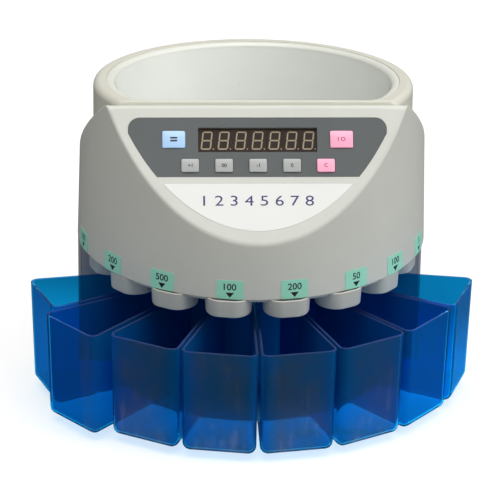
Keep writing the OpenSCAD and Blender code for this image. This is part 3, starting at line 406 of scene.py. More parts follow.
def build_box_wear(tree, given):
    """Painted highlight along the rim, rubbed floor, and front walls hazed partly by rubbing and partly by a
    painted dark reflection, with scratches that glow as painted light.
    """
    parts = add_node(tree, "ShaderNodeSeparateXYZ", {"Vector": object_place(tree)}).outputs
    from_top = maths(tree, "SUBTRACT", parts["Z"], given["Top"])
    from_foot = maths(tree, "SUBTRACT", parts["Z"], given["Bottom"])
    from_axis = maths(tree, "SUBTRACT", parts["Y"], given["Axis"])
    # Painted highlight: the top 0.7 mm of the walls takes the rim colour, standing in for glints
    rim = ramp(tree, from_top, start=-0.7 * MM, end=-0.2 * MM)
    below = ramp(tree, from_foot, start=3.4 * MM, end=2.3 * MM)
    above = ramp(tree, from_foot, start=1.3 * MM, end=1.8 * MM)
    lower = ramp(tree, from_foot, start=60 * MM, end=0.0, least=0.5, most=0.32)
    # Painted light: the glow of the scratches and haze grows towards the foot
    pale = ramp(tree, from_foot, start=50 * MM, end=0.0, least=0.28, most=1.0)
    front = ramp(tree, from_axis, start=-132 * MM, end=-142 * MM)
    turn = maths(tree, "ARCTAN2", parts["X"], maths(tree, "SUBTRACT", given["Axis"], parts["Y"]))
    within = maths(tree, "FRACT", maths(tree, "DIVIDE", turn, given["Pitch"]))
    from_middle = maths(tree, "ABSOLUTE", maths(tree, "SUBTRACT", within, 0.5))
    inner = ramp(tree, from_middle, start=0.43, end=0.24, least=0.1, most=1.0)
    scuffs = add_node(
        tree, "ShaderNodeGroup", {"Scale": 150.0, "Start": 0.5}, node_tree=scuff_group()).outputs
    worn = maths(tree, "MULTIPLY_ADD", scuffs["Patch"], 0.5, 0.25)
    blotch = maths(tree, "MULTIPLY_ADD", scuffs["Patch"], 1.1, 0.4)
    # Front walls hazed more higher up and in each box's middle: partly rubbing, partly a painted dark
    # reflection
    smear_and_painted_reflection = product(tree, blotch, lower, front, inner)
    haze = maths(tree, "ADD", product(tree, worn, below, above), smear_and_painted_reflection, clamp=True)
    hazed = mix(tree, haze, given["Colour"], given["Haze And Glow Colour"])
    scratch = product(tree, scuffs["Mask"], front, inner)
    # Painted light: scratches and front haze glow, standing in for light catching them
    painted_glow_streaks = maths(tree, "MULTIPLY_ADD", scratch, 2.2, smear_and_painted_reflection, clamp=True)
    return {
        "Colour": mix(tree, rim, hazed, given["Rim Highlight Colour"]),
        "Roughness": maths(tree, "MULTIPLY_ADD", haze, 0.3, 0.06),
        "Painted Scuff Glow": mix(tree, product(tree, painted_glow_streaks, pale), BLACK, given["Haze And Glow Colour"]),
    }


def box_wear_group():
    """Wear of the clear boxes, with a painted rim highlight, a painted reflection and a painted glow."""
    return shared_group(
        "box_wear",
        [
            ("Colour", COLOUR, (0.0, 0.2, 0.6, 1)),
            ("Rim Highlight Colour", COLOUR, (0.6, 0.6, 0.8, 1)),
            ("Haze And Glow Colour", COLOUR, (0.4, 0.5, 0.7, 1)),
            ("Top", FLOAT, 0.09),
            ("Bottom", FLOAT, 0.006),
            ("Axis", FLOAT, 0.0),
            ("Pitch", FLOAT, 0.35),
        ],
        [("Colour", COLOUR), ("Roughness", FLOAT), ("Painted Scuff Glow", COLOUR)],
        build_box_wear,
    )


def new_material(name):
    """Empty material with its tree and shader."""
    material = bpy.data.materials.new(name)
    material.use_nodes = True
    return material, material.node_tree, material.node_tree.nodes["Principled BSDF"]


def darker(base, share):
    """Colour with each part taken down by a share."""
    return tuple(part * (1 - share) for part in base)


def plastic(name, base, roughness, shade=0.06, cloud=14.0, grain=1800.0, bump=0.05, specks=0.25, coat=0.0,
            gloss=0.5):
    """Moulded plastic of one colour."""
    material, tree, shader = new_material(name)
    finish = add_node(tree, "ShaderNodeGroup", {
        "Colour": (*base, 1),
        "Shade": (*darker(base, shade), 1),
        "Roughness": roughness,
        "Cloud Scale": cloud,
        "Grain Scale": grain,
        "Specks": specks,
    }, node_tree=moulded_group()).outputs
    relief = add_node(
        tree, "ShaderNodeBump", {"Height": finish["Height"], "Strength": bump, "Distance": 0.4 * MM})
    feed(tree, shader, {
        "Base Color": finish["Colour"],
        "Roughness": finish["Roughness"],
        "Normal": relief.outputs["Normal"],
        "Coat Weight": coat,
        "Coat Roughness": 0.05,
        "Specular IOR Level": gloss,
    })
    return material


def bowl_finish(name, base, lip, hopper):
    """Moulded bowl whose lip is rubbed a little duller."""
    lip_low, lip_high = 4.6 * MM, 1.2 * MM
    material = plastic(name, base, 0.34, cloud=9.0)
    tree = material.node_tree
    shader = tree.nodes["Principled BSDF"]
    moulded = shader.inputs["Base Color"].links[0].from_socket
    normal = (0.0, math.sin(hopper.tilt), math.cos(hopper.tilt))
    top = Vector(normal).dot(AXIS + Vector((0, 0, hopper.rim_z)))
    band = ramp(tree, along(tree, object_place(tree), normal), start=top - lip_low, end=top - lip_high)
    feed(tree, shader, {"Base Color": mix(tree, band, moulded, (*lip, 1))})
    return material


def metal(name, base, roughness, stretch=(1.0, 1.0, 12.0), scale=180.0):
    """Metal with fine brushed or turned marks."""
    material, tree, shader = new_material(name)
    marks = noise(tree, stretched(tree, object_place(tree), stretch), scale, 4.0)
    feed(tree, shader, {
        "Base Color": mix(tree, marks, (*base, 1), (*darker(base, 0.25), 1)),
        "Roughness": maths(tree, "MULTIPLY_ADD", marks, 0.25, roughness),
        "Metallic": 1.0,
    })
    return material


def box_plastic(name, base, rim, haze, pitch):
    """Clear blue plastic that lets tinted light through to what lies behind, and whose scratches and haze glow
    as painted light.
    """
    material, tree, shader = new_material(name)
    wear = add_node(tree, "ShaderNodeGroup", {
        "Colour": (*base, 1),
        "Rim Highlight Colour": (*rim, 1),
        "Haze And Glow Colour": (*haze, 1),
        "Top": BOX_TOP,
        "Bottom": BOX_Z,
        "Axis": AXIS.y,
        "Pitch": pitch,
    }, node_tree=box_wear_group()).outputs
    feed(tree, shader, {
        "Base Color": wear["Colour"],
        "Roughness": wear["Roughness"],
        # Painted light: the scratches and front haze glow, though a box is no lamp
        "Emission Color": wear["Painted Scuff Glow"],
        "Emission Strength": 0.34,
        "Transmission Weight": 0.88,
        "IOR": 1.13,
        "Specular Tint": (*base, 1),
    })
    shadow_tint = (*(part ** 0.24 for part in base), 1)
    clear = add_node(tree, "ShaderNodeBsdfTransparent", {"Color": shadow_tint}).outputs["BSDF"]
    shadow = add_node(tree, "ShaderNodeLightPath").outputs["Is Shadow Ray"]
    either = add_node(tree, "ShaderNodeMixShader", {0: shadow, 1: shader.outputs["BSDF"], 2: clear})
    feed(tree, tree.nodes["Material Output"], {"Surface": either.outputs["Shader"]})
    return material


def floor_paint(name, base):
    """Pale floor that looks white; in the object's gloss it is nearly black as a painted reflection, and
    through the boxes it glows as painted light, brighter to the right.
    """
    material, tree, shader = new_material(name)
    path = add_node(tree, "ShaderNodeLightPath").outputs
    place = object_place(tree)
    marks = add_node(tree, "ShaderNodeTexNoise", {"Scale": 3.0, "Detail": 2.0}).outputs["Fac"]
    tones = mix(tree, marks, (*base, 1), (*darker(base, 0.03), 1))
    ramps = [ramp(tree, along(tree, place, way), **limits) for way, limits in PAINTED_FLOOR_GLOW.items()]
    through = product(tree, path["Is Transmission Ray"], *ramps)
    # Painted reflection: glossy rays see the floor nearly black; painted light: rays through the boxes see it
    # glow
    feed(tree, shader, {
        "Base Color": mix(tree, path["Is Glossy Ray"], tones, (*darker(base, 0.96), 1)),
        "Roughness": 0.7,
        "Emission Color": WHITE,
        "Emission Strength": maths(tree, "MULTIPLY_ADD", path["Is Camera Ray"], 0.6, through),
    })
    return material


def smoke_window(name):
    """Dark tinted window over the display."""
    material, tree, shader = new_material(name)
    patch = add_node(tree, "ShaderNodeGroup", node_tree=scuff_group()).outputs["Patch"]
    feed(tree, shader, {
        "Base Color": (*srgb(40, 26, 18), 1),
        "Roughness": maths(tree, "MULTIPLY_ADD", patch, 0.1, 0.08),
        "Alpha": 0.18,
        "Specular IOR Level": 0.1,
    })
    return material


# Mesh tools

def outline(arcs, z):
    """Points along arcs given as (centre x, centre y, radius, from, to, steps), at one height."""
    points = []
    for centre_x, centre_y, radius, start, end, steps in arcs:
        for k in range(steps + 1):
            turn = start + (end - start) * k / steps
            point = Vector((centre_x + radius * math.cos(turn), centre_y + radius * math.sin(turn), z))
            if not points or (point - points[-1]).length > TINY:
                points.append(point)
    if (points[0] - points[-1]).length < TINY:
        points.pop()
    return points


def loft(bm, outlines, caps=True):
    """Skin through outlines with the same number of points, with its ends closed or left open."""
    made = bmesh.ops.create_circle(bm, cap_ends=False, segments=len(outlines[0]), radius=1.0)
    ring = made["verts"]
    ends = [ring]
    for vert, point in zip(ring, outlines[0]):
        vert.co = point
    for points in outlines[1:]:
        edges = [bm.edges.get(pair) for pair in zip(ring, ring[1:] + ring[:1])]
        made = bmesh.ops.extrude_edge_only(bm, edges=edges)
        fresh = {part for part in made["geom"] if isinstance(part, bmesh.types.BMVert)}
        ring = [next(e.other_vert(v) for e in v.link_edges if e.other_vert(v) in fresh) for v in ring]
        for vert, point in zip(ring, points):
            vert.co = point
    ends.append(ring)
    if caps:
        for end in ends:
            bmesh.ops.contextual_create(bm, geom=end)


def cut(bm, point, normal, fill=True):
    """Removes what lies beyond a plane and closes the cut, or returns the cut's edges."""
    geometry = bm.verts[:] + bm.edges[:] + bm.faces[:]
    made = bmesh.ops.bisect_plane(
        bm, geom=geometry, dist=TINY, plane_co=point, plane_no=normal, clear_outer=True)
    edges = [part for part in made["geom_cut"] if isinstance(part, bmesh.types.BMEdge)]
    if fill:
        bmesh.ops.contextual_create(bm, geom=edges)
    return edges


def tidy(bm):
    """Merges doubles and points the faces outwards."""
    bmesh.ops.remove_doubles(bm, verts=bm.verts, dist=TINY)
    bmesh.ops.recalc_face_normals(bm, faces=bm.faces)


def move(bm, matrix):
    """Moves a whole bmesh by a matrix."""
    bmesh.ops.transform(bm, matrix=matrix, verts=bm.verts)


def shift(bm, way):
    """Moves a whole bmesh along a vector."""
    bmesh.ops.translate(bm, vec=way, verts=bm.verts)


def new_object(name, bm):
    """Object from a finished bmesh."""
    mesh = bpy.data.meshes.new(name)
    bm.to_mesh(mesh)
    bm.free()
    item = bpy.data.objects.new(name, mesh)
    bpy.context.scene.collection.objects.link(item)
    return item


def settled_mesh(item):
    """New mesh of an object, with its modifiers or its text made into faces."""
    bpy.context.view_layer.update()
    graph = bpy.context.evaluated_depsgraph_get()
    return bpy.data.meshes.new_from_object(item.evaluated_get(graph))


def carve(item, cutters):
    """Cuts objects out of another and removes them."""
    for cutter in cutters:
        away = item.modifiers.new("carve", "BOOLEAN")
        away.operation = "DIFFERENCE"
        away.solver = "EXACT"
        away.object = cutter
    carved = settled_mesh(item)
    item.modifiers.clear()
    item.data = carved
    for cutter in cutters:
        mesh = cutter.data
        bpy.data.objects.remove(cutter)
        bpy.data.meshes.remove(mesh)


def paint(item, finish):
    """Gives an object one finish."""
    item.data.materials.clear()
    item.data.materials.append(MATERIALS[finish])


def even_normals(item):
    """Weighs the normals by the faces and keeps sharp edges."""
    even = item.modifiers.new("even normals", "WEIGHTED_NORMAL")
    even.keep_sharp = True


def finish_piece(item, slot, body="housing", replaces=(), finish="", degrees=32, weighted=True):
    """Gives a piece its finish, named by its slot unless another is given, puts it on its body and hides the
    nodes that it stands for.
    """
    paint(item, finish or slot)
    item.data.shade_smooth()
    item.data.set_sharp_from_angle(angle=math.radians(degrees))
    if weighted:
        even_normals(item)
    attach(item, body)
    if replaces:
        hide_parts(*replaces)


def soften(item, width):
    """Rounds the edges of a carried-over node."""
    weld = item.modifiers.new("weld", "WELD")
    weld.merge_threshold = CLOSE
    rounding = item.modifiers.new("rounding", "BEVEL")
    rounding.limit_method = "ANGLE"
    rounding.angle_limit = math.radians(35)
    rounding.width = width
    rounding.segments = 3
    rounding.use_clamp_overlap = False
    even_normals(item)


def panel_matrix(drum):
    """Panel's frame: x to the right, y up the slope from the ridge, z outwards."""
    place = Matrix.Translation(AXIS + Vector((0, -drum.ridge_front, drum.ridge_z)))
    return place @ Matrix.Rotation(drum.panel_slope, 4, "X")


def rim_matrix(hopper):
    """Rim's frame, whose top is z = 0."""
    return Matrix.Translation(AXIS + Vector((0, 0, hopper.rim_z))) @ Matrix.Rotation(-hopper.tilt, 4, "X")


def round_rect(width, height, corner, z, centre=(0.0, 0.0), steps=5, between=0):
    """Outline of a rectangle with round corners, and points along its straight sides."""
    half_w, half_h = width / 2 - corner, height / 2 - corner
    quarter = math.pi / 2
    places = [(half_w, -half_h), (half_w, half_h), (-half_w, half_h), (-half_w, -half_h)]
    arcs = [
        (centre[0] + x, centre[1] + y, corner, (k - 1) * quarter, k * quarter, steps)
        for k, (x, y) in enumerate(places)
    ]
    points = outline(arcs, z)
    count = steps + 1
    filled = []
    for k in range(4):
        filled += points[k * count:(k + 1) * count]
        start, end = filled[-1], points[(k + 1) * count % len(points)]
        filled += [start.lerp(end, step / (between + 1)) for step in range(1, between + 1)]
    return filled


def rounded(radius, steps=4):
    """Steps over a rounded edge from its side to its top, as (way in, way below the top)."""
    turns = [k * math.pi / 2 / steps for k in range(steps + 1)]
    return [(radius * (1 - math.cos(turn)), radius * (1 - math.sin(turn))) for turn in turns]


def prism(name, width, height, corner, depths, matrix, centre):
    """Straight prism with round corners between two depths."""
    bm = bmesh.new()
    loft(bm, [round_rect(width, height, corner, z, centre) for z in depths])
    tidy(bm)
    move(bm, matrix)
    return new_object(name, bm)


# Front cover

def drum_at(drum, z):
    """Radius of the drum wall at a height."""
    return drum.radius - (z - SKIRT_Z) * math.tan(drum.draft)


def inner_form(drum):
    """Closed inside of the cover: the drum cone cut by panel, shoulders and joint, one wall in."""
    low, high = SKIRT_Z - MM, drum.ridge_z + 5 * MM
    bm = bmesh.new()
    bmesh.ops.create_cone(
        bm, cap_ends=True, segments=drum.segments, radius1=drum_at(drum, low) - drum.wall,
        radius2=drum_at(drum, high) - drum.wall, depth=high - low)
    shift(bm, (0, 0, (low + high) / 2))
    panel_n = Vector((0, -math.sin(drum.panel_slope), math.cos(drum.panel_slope)))
    deck_n = Vector((0, math.sin(drum.deck_slope), math.cos(drum.deck_slope)))
    tip = Vector((0, -drum.ridge_front, drum.ridge_z))
    for normal in (panel_n, deck_n):
        cut(bm, tip - drum.wall * normal, normal)
    cut(bm, (0, drum.split_y + MM, 0), (0, 1, 0))
    tidy(bm)
    shift(bm, AXIS)
    return new_object("inner_form", bm)


def fillet(first, second, radius):
    """Distance to the common part of two forms, with their edge rounded."""
    near = math.hypot(max(first + radius, 0.0), max(second + radius, 0.0))
    return min(-radius, max(first, second)) + near


def spread(stops):
    """Values through stops given as (value, steps to it)."""
    values = [stops[0][0]]
    for (start, _), (end, steps) in zip(stops, stops[1:]):
        values += [start + (end - start) * k / steps for k in range(1, steps + 1)]
    return values


class RoundedCover:
    """Outer form of the cover: drum cone, panel and shoulders with rounded edges between them."""
    CENTRE_UP = 40 * MM
    BLEND = 10 * MM
    FAR = 400 * MM
    HALVINGS = 36
    NEAR_EDGE = 0.06
    LEAST_RISE = 0.03

    def __init__(self, drum):
        self.drum = drum
        self.centre = Vector((0, drum.split_y, SKIRT_Z + self.CENTRE_UP))
        self.panel = (math.sin(drum.panel_slope), math.cos(drum.panel_slope))
        self.deck = (math.sin(drum.deck_slope), math.cos(drum.deck_slope))

    def outside(self, point):
        """Distance of a point from the form, below zero inside it."""
        drum = self.drum
        y, z = point.y + drum.ridge_front, point.z - drum.ridge_z
        wall = (math.hypot(point.x, point.y) - drum_at(drum, point.z)) * math.cos(drum.draft)
        panel = z * self.panel[1] - y * self.panel[0]
        deck = z * self.deck[1] + y * self.deck[0]
        share = min(max((panel - deck) / self.BLEND + 0.5, 0.0), 1.0)
        edge = drum.shoulder_edge + share * (drum.rim_edge - drum.shoulder_edge)
        return fillet(wall, fillet(panel, deck, drum.ridge_round), edge)

    def surface(self, turn, rise):
        """Point of the form in a direction from its centre."""
        level = math.cos(rise)
        way = Vector((math.sin(turn) * level, -math.cos(turn) * level, math.sin(rise)))
        near, far = 0.0, self.FAR
        for _ in range(self.HALVINGS):
            half_way = (near + far) / 2
            if self.outside(self.centre + half_way * way) < 0:
                near = half_way
            else:
                far = half_way
        return self.centre + near * way

    def reach(self, turn, radius):
        """Level distance from the centre to a circle round the drum axis."""
        y = self.centre.y
        return y * math.cos(turn) + math.sqrt(radius ** 2 - (y * math.sin(turn)) ** 2)

    def rises(self, turn):
        """Angles of rise in one direction, close together round the edges."""
        drum, centre = self.drum, self.centre
        radius = drum.radius
        for _ in range(6):
            far = self.reach(turn, radius)
            y = centre.y - far * math.cos(turn) + drum.ridge_front
            top = drum.ridge_z + min(y * math.tan(drum.panel_slope), -y * math.tan(drum.deck_slope))
            radius = drum_at(drum, top)
        low = math.atan2(SKIRT_Z - centre.z, self.reach(turn, drum.radius))
        edge = math.atan2(top - centre.z, far)
        ridge = edge
        if math.cos(turn) * far > centre.y + drum.ridge_front:
            ridge = math.atan2(drum.ridge_z - centre.z, (centre.y + drum.ridge_front) / math.cos(turn))
        ridge = max(ridge, edge + self.LEAST_RISE)
        wide = min(self.NEAR_EDGE, (ridge - edge) / 2)
        return spread([
            (low, 0), (edge - self.NEAR_EDGE, 6), (edge + wide, 14), (ridge - wide, 5),
            (ridge + self.NEAR_EDGE, 14), (math.pi / 2, 8),
        ])

    def solid(self):
        """Closed solid on the drum axis."""
        drum = self.drum
        turns = spread([(-math.pi / 2, 0), (math.pi / 2, drum.segments)])
        rows = [[self.surface(turn, rise) for rise in self.rises(turn)] for turn in turns]
        across, up = len(rows) - 1, len(rows[0]) - 1
        bm = bmesh.new()
        bmesh.ops.create_grid(bm, x_segments=across, y_segments=up, size=1.0)
        for vert in bm.verts:
            vert.co = rows[round((vert.co.x + 1) / 2 * across)][round((vert.co.y + 1) / 2 * up)]
        bmesh.ops.remove_doubles(bm, verts=bm.verts, dist=CLOSE)
        rim = [edge for edge in bm.edges if edge.is_boundary]
        arc = [edge for edge in rim if all(abs(v.co.z - SKIRT_Z) < 1e-5 for v in edge.verts)]
        sides = [edge for edge in rim if edge not in arc]
        ends = {v for edge in arc for v in edge.verts} & {v for edge in sides for v in edge.verts}
        chord = bmesh.ops.contextual_create(bm, geom=list(ends))["edges"]
        bmesh.ops.contextual_create(bm, geom=arc + chord)
        bmesh.ops.contextual_create(bm, geom=sides + chord)
        tidy(bm)
        return bm


def recess_cutter(name, drum, panel, top, height, width=0.0, corner=0.0):
    """Cutter for a recess on the panel that starts below the ridge and has the trim's round edge."""
    bm = bmesh.new()
    reach = drum.ridge_z + 20 * MM
    radius = drum.radius - panel.border + SEAT
    bmesh.ops.create_cone(
        bm, cap_ends=True, segments=drum.segments, radius1=radius, radius2=radius, depth=2 * reach)
    shift(bm, AXIS + Vector((0, -panel.shift, 0)))
    move(bm, panel_matrix(drum).inverted())
    planes = [
        ((0, SEAT - top, 0), (0, 1, 0)),
        ((0, -top - height - SEAT, 0), (0, -1, 0)),
        ((0, 0, MM), (0, 0, 1)),
        ((0, 0, -panel.recess), (0, 0, -1)),
    ]
    if width:
        planes += [((side * (width / 2 + SEAT), 0, 0), (side, 0, 0)) for side in (-1, 1)]
    for point, normal in planes:
        cut(bm, point, normal)
    if corner:
        upright = [
            edge for edge in bm.edges
            if all(abs(v.co.y + top - SEAT) < CLOSE and abs(v.co.x) > width / 2 - SEAT for v in edge.verts)
            and abs(edge.verts[0].co.z - edge.verts[1].co.z) > CLOSE
        ]
        bmesh.ops.bevel(
            bm, geom=upright, offset=corner + SEAT, offset_type="OFFSET", segments=8, profile=0.5,
            affect="EDGES", material=-1)
    tidy(bm)
    move(bm, panel_matrix(drum))
    return new_object(name, bm)


def mouth_arcs(radius, front, corner, steps=(120, 14)):
    """Arcs of a circle with a straight front and round corners, counterclockwise from the front."""
    corner_y = -front + corner
    corner_x = math.sqrt((radius - corner) ** 2 - corner_y ** 2)
    turn = math.atan2(corner_y, corner_x)
    return [
        (corner_x, corner_y, corner, -math.pi / 2, turn, steps[1]),
        (0.0, 0.0, radius, turn, math.pi - turn, steps[0]),
        (-corner_x, corner_y, corner, math.pi - turn, 1.5 * math.pi, steps[1]),
    ]


def key_places(panel):
    """Centre, width and height of each key on the panel, by its body's name."""
    places = {
        "key_left": (-panel.big_x, -panel.big_s, panel.big_w, panel.big_h),
        "key_right": (panel.big_x, -panel.big_s, panel.big_w, panel.big_h),
    }
    for k in range(1, 6):
        places[f"key_{k}"] = ((k - 3) * panel.small_pitch, -panel.small_s, panel.small_w, panel.small_h)
    return places


class COUNTER_OT_front_cover(bpy.types.Operator):
    """Model the front cover with its rounded edges, recesses and holes"""
    bl_idname = "counter.front_cover"
    bl_label = "Front cover"

    def execute(self, context):
        scene = context.scene
        drum, panel, hopper = scene.counter_drum, scene.counter_panel, scene.counter_hopper
        bm = RoundedCover(drum).solid()
        shift(bm, AXIS)
        cover = new_object("front_cover_shell", bm)
        collar = bmesh.new()
        collar_low, collar_high = -150 * MM, 100 * MM
        arcs = mouth_arcs(drum.radius - hopper.shoulder + SLIP, hopper.front + SLIP, MM)
        loft(collar, [outline(arcs, z) for z in (collar_low, collar_high)])
        tidy(collar)
        move(collar, rim_matrix(hopper))
        plate_top = panel.overlay_top + panel.overlay_h + panel.band_h
        matrix = panel_matrix(drum)
        depths = (-drum.wall - MM, MM)
        cutters = [
            inner_form(drum),
            new_object("collar_hole", collar),
            recess_cutter("overlay_recess", drum, panel, panel.overlay_top, panel.overlay_h,
                          panel.overlay_w, panel.overlay_corner),
            recess_cutter("plate_recess", drum, panel, plate_top, panel.plate_h),
            prism("window_hole", panel.window_w + 2 * SEAT, panel.window_h + 2 * SEAT, 0.2 * MM, depths, matrix,
                  (0.0, -panel.window_top - panel.window_h / 2)),
        ]
        for name, (x, y, width, height) in key_places(panel).items():
            cutters.append(prism(
                f"hole_{name}", width + 2 * SLIP, height + 2 * SLIP, panel.key_corner + SLIP, depths, matrix,
                (x, y)))
        carve(cover, cutters)
        finish_piece(cover, "cover_plastic", replaces=["front_cover"])
        return {"FINISHED"}


# Hopper

class COUNTER_OT_hopper(bpy.types.Operator):
    """Model the hopper's collar and bowl"""
    bl_idname = "counter.hopper"
    bl_label = "Hopper"

    def execute(self, context):
        scene = context.scene
        self.collar(scene.counter_drum, scene.counter_hopper)
        self.bowl(scene.counter_drum, scene.counter_hopper)
        return {"FINISHED"}

    @staticmethod
    def ring(name, slot, node, hopper, levels, foot):
        """Ring through levels given as (radius, front, corner, z), tilted into place and cut level."""
        bm = bmesh.new()
        loft(bm, [outline(mouth_arcs(*arcs), z) for *arcs, z in levels], caps=False)
        bmesh.ops.remove_doubles(bm, verts=bm.verts, dist=TINY)
        move(bm, rim_matrix(hopper))
        edges = cut(bm, (0, 0, foot), (0, 0, -1), fill=False)
        bmesh.ops.bridge_loops(bm, edges=edges)
        tidy(bm)
        finish_piece(new_object(name, bm), slot, replaces=[node], degrees=40)

    def collar(self, drum, hopper):
        """Collar with a rounded rim, a seat for the lip and an open underside."""
        outer = drum.radius - hopper.shoulder
        mouth = outer - hopper.band
        face = hopper.front - hopper.land
        spare = 15 * MM
        low = SHOULDER_Z - hopper.rim_z - spare
        seat_z = -hopper.lip_step - hopper.lip_t
        front_round = 1.6 * MM
        edge = 0.35 * MM
        low_corner, corner = 3 * MM, 4 * MM
        inner, inner_front = outer - drum.wall, hopper.front - drum.wall + 1.2 * MM
        levels = [(outer, hopper.front, low_corner, low)]
        for (pull, drop), (front_pull, _) in zip(rounded(hopper.rounding, 6), rounded(front_round, 6)):
            levels.append((outer - pull, hopper.front - front_pull, corner, -drop))
        levels += [
            (mouth + edge, face + edge, hopper.corner + edge, 0.0),
            (mouth + edge / 4, face + edge / 4, hopper.corner, -edge / 4),
            (mouth, face, hopper.corner, -edge),
            (mouth, face, hopper.corner, seat_z),
            (mouth - MM, face - MM, hopper.corner - MM, seat_z),
            (mouth - MM, face - MM, hopper.corner - MM, seat_z - drum.wall),
            (inner, inner_front, corner, seat_z - drum.wall),
            (inner, inner_front, corner, low),
        ]
        self.ring("hopper_collar_ring", "collar_plastic", "hopper_collar", hopper, levels, SHOULDER_Z)

    def bowl(self, drum, hopper):
        """Bowl with its lip, narrowing down to the coin disc."""
        lip = drum.radius - hopper.shoulder - hopper.band - SEAT
        front = hopper.front - hopper.land - SEAT
        top, under = -hopper.lip_step, -hopper.lip_step - hopper.lip_t
        mouth, face = lip - hopper.lip_w - hopper.roll, front - hopper.lip_w
        corner = hopper.corner - hopper.lip_w
        flare = (mouth - hopper.bottom_r) / (hopper.rim_z + under - BOWL_Z)
        spare = 12 * MM
        low = BOWL_Z - hopper.rim_z - spare
        edge, lip_round = 0.4 * MM, 4 * MM
        inside = spread([(under, 0), (low, 14)])
        levels = [(mouth + hopper.wall + flare * (z - under), face + hopper.wall, corner + hopper.wall, z)
                  for z in reversed(inside)]
        levels += [
            (lip, front, hopper.corner, under),
            (lip, front, hopper.corner, top - edge),
            (lip - edge / 3, front - edge / 3, hopper.corner, top - edge / 3),
            (lip - edge, front - edge, hopper.corner - edge, top),
        ]
        for drop, grow in rounded(lip_round):
            inward = min(grow, hopper.lip_w - 2 * edge)
            levels.append((mouth + grow, face + inward, corner + inward, top - drop))
        levels += [(mouth + flare * (z - under), face, corner, z) for z in inside]
        self.ring("hopper_bowl_liner", "bowl_plastic", "hopper_bowl", hopper, levels, BOWL_Z)


# Coin boxes

def box_arcs(boxes, pull, drop):
    """Plan of a box with its front along +y, pulled in, at a share of its depth below the rim."""
    half = boxes.pitch / 2
    corner = boxes.corner - pull
    side = boxes.gap + pull + drop * boxes.draft_side + corner
    inner_y = boxes.inner_u + pull + corner
    outer_y = boxes.outer_u - pull - drop * boxes.draft_out - corner
    inner_x, outer_x = ((y * math.sin(half) - side) / math.cos(half) for y in (inner_y, outer_y))
    return [
        (inner_x, inner_y, corner, -math.pi / 2, -half, 6),
        (outer_x, outer_y, corner, -half, math.pi / 2, 10),
        (-outer_x, outer_y, corner, math.pi / 2, math.pi + half, 10),
        (-inner_x, inner_y, corner, math.pi + half, 1.5 * math.pi, 6),
    ]


def box_levels(boxes):
    """Pull and height of each loop, up the outside, over the rim and down the inside."""
    wall, rim = boxes.wall, rounded(boxes.rim)
    levels = [(pull, BOX_Z + rise) for rise, pull in rounded(boxes.foot)]
    levels += [(pull, BOX_TOP - drop) for pull, drop in rim]
    levels += [(wall - pull, BOX_TOP - drop) for pull, drop in reversed(rim)]
    levels += [(wall + pull, BOX_Z + wall + rise) for rise, pull in reversed(rounded(boxes.foot - wall))]
    return levels


class COUNTER_OT_boxes(bpy.types.Operator):
    """Model the eight clear blue coin boxes"""
    bl_idname = "counter.boxes"
    bl_label = "Coin boxes"

    TONGUE_GAP = 0.02 * MM
    PULLED_BOX = 2

    def execute(self, context):
        boxes = context.scene.counter_boxes
        for k in range(1, BOX_COUNT + 1):
            bm = bmesh.new()
            loft(bm, [
                outline(box_arcs(boxes, pull, (BOX_TOP - z) / (BOX_TOP - BOX_Z)), z)
                for pull, z in box_levels(boxes)
            ])
            tidy(bm)
            self.tongue(bm, boxes)
            turn = (k - (BOX_COUNT + 1) / 2) * boxes.pitch
            pulled = boxes.pulled if k == self.PULLED_BOX else 0.0
            place = Matrix.Translation(AXIS) @ Matrix.Rotation(turn + math.pi, 4, "Z")
            move(bm, place @ Matrix.Translation((0, pulled, 0)))
            name = f"coin_box_{k}"
            finish_piece(new_object(f"{name}_tray", bm), "box_blue", name, [name], degrees=40)
        return {"FINISHED"}

    def tongue(self, bm, boxes):
        """Flat tongue at the foot of the inner end."""
        made = bmesh.ops.create_cube(bm, size=1.0)
        bmesh.ops.scale(bm, vec=(boxes.tongue, boxes.tongue, boxes.wall), verts=made["verts"])
        place = (0, boxes.inner_u - boxes.tongue / 2 - self.TONGUE_GAP, BOX_Z + boxes.wall / 2)
        bmesh.ops.translate(bm, vec=place, verts=made["verts"])


# Coin chutes

class COUNTER_OT_chutes(bpy.types.Operator):
    """Model the eight coin chutes below the drum"""
    bl_idname = "counter.chutes"
    bl_label = "Coin chutes"

    def execute(self, context):
        scene = context.scene
        drum, boxes, chutes = scene.counter_drum, scene.counter_boxes, scene.counter_chutes
        last = (BOX_COUNT - 1) / 2
        bm = bmesh.new()
        for k in range(BOX_COUNT):
            step = k - last
            reach = drum.radius + chutes.proud - chutes.radius - chutes.set_back * (step / last) ** 2
            place = Matrix.Translation(AXIS) @ Matrix.Rotation(step * boxes.pitch, 4, "Z")
            join(bm, self.tube(chutes), place @ Matrix.Translation((0, -reach, 0)))
        finish_piece(new_object("chute_row", bm), "chute_plastic", replaces=["coin_chutes"], degrees=40)
        return {"FINISHED"}

    @staticmethod
    def tube(chutes):
        """Round tube with a flat front and soft edges, open below."""
        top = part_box("coin_chutes")[1].z
        flat, corner, foot = chutes.flat, chutes.corner, chutes.radius - chutes.taper
        bore, bore_flat, bore_corner = foot - chutes.wall, flat - chutes.flat_wall, corner - chutes.flat_wall
        edge = rounded(chutes.edge)
        inside = (bore, bore_flat, bore_corner, DECK_Z)
        levels = [inside]
        levels += [(bore + pull, bore_flat + pull, bore_corner + pull, CHUTE_Z + rise) for pull, rise in edge]
        levels += [(foot - pull, flat - pull, corner - pull, CHUTE_Z + rise) for pull, rise in reversed(edge)]
        levels += [(chutes.radius - pull, flat - pull, corner - pull, top - drop) for pull, drop in edge]
        levels.append(inside)
        bm = bmesh.new()
        loft(bm, [outline(mouth_arcs(*arcs, steps=(40, 10)), z) for *arcs, z in levels], caps=False)
        tidy(bm)
        return bm


# Keys, display and labels

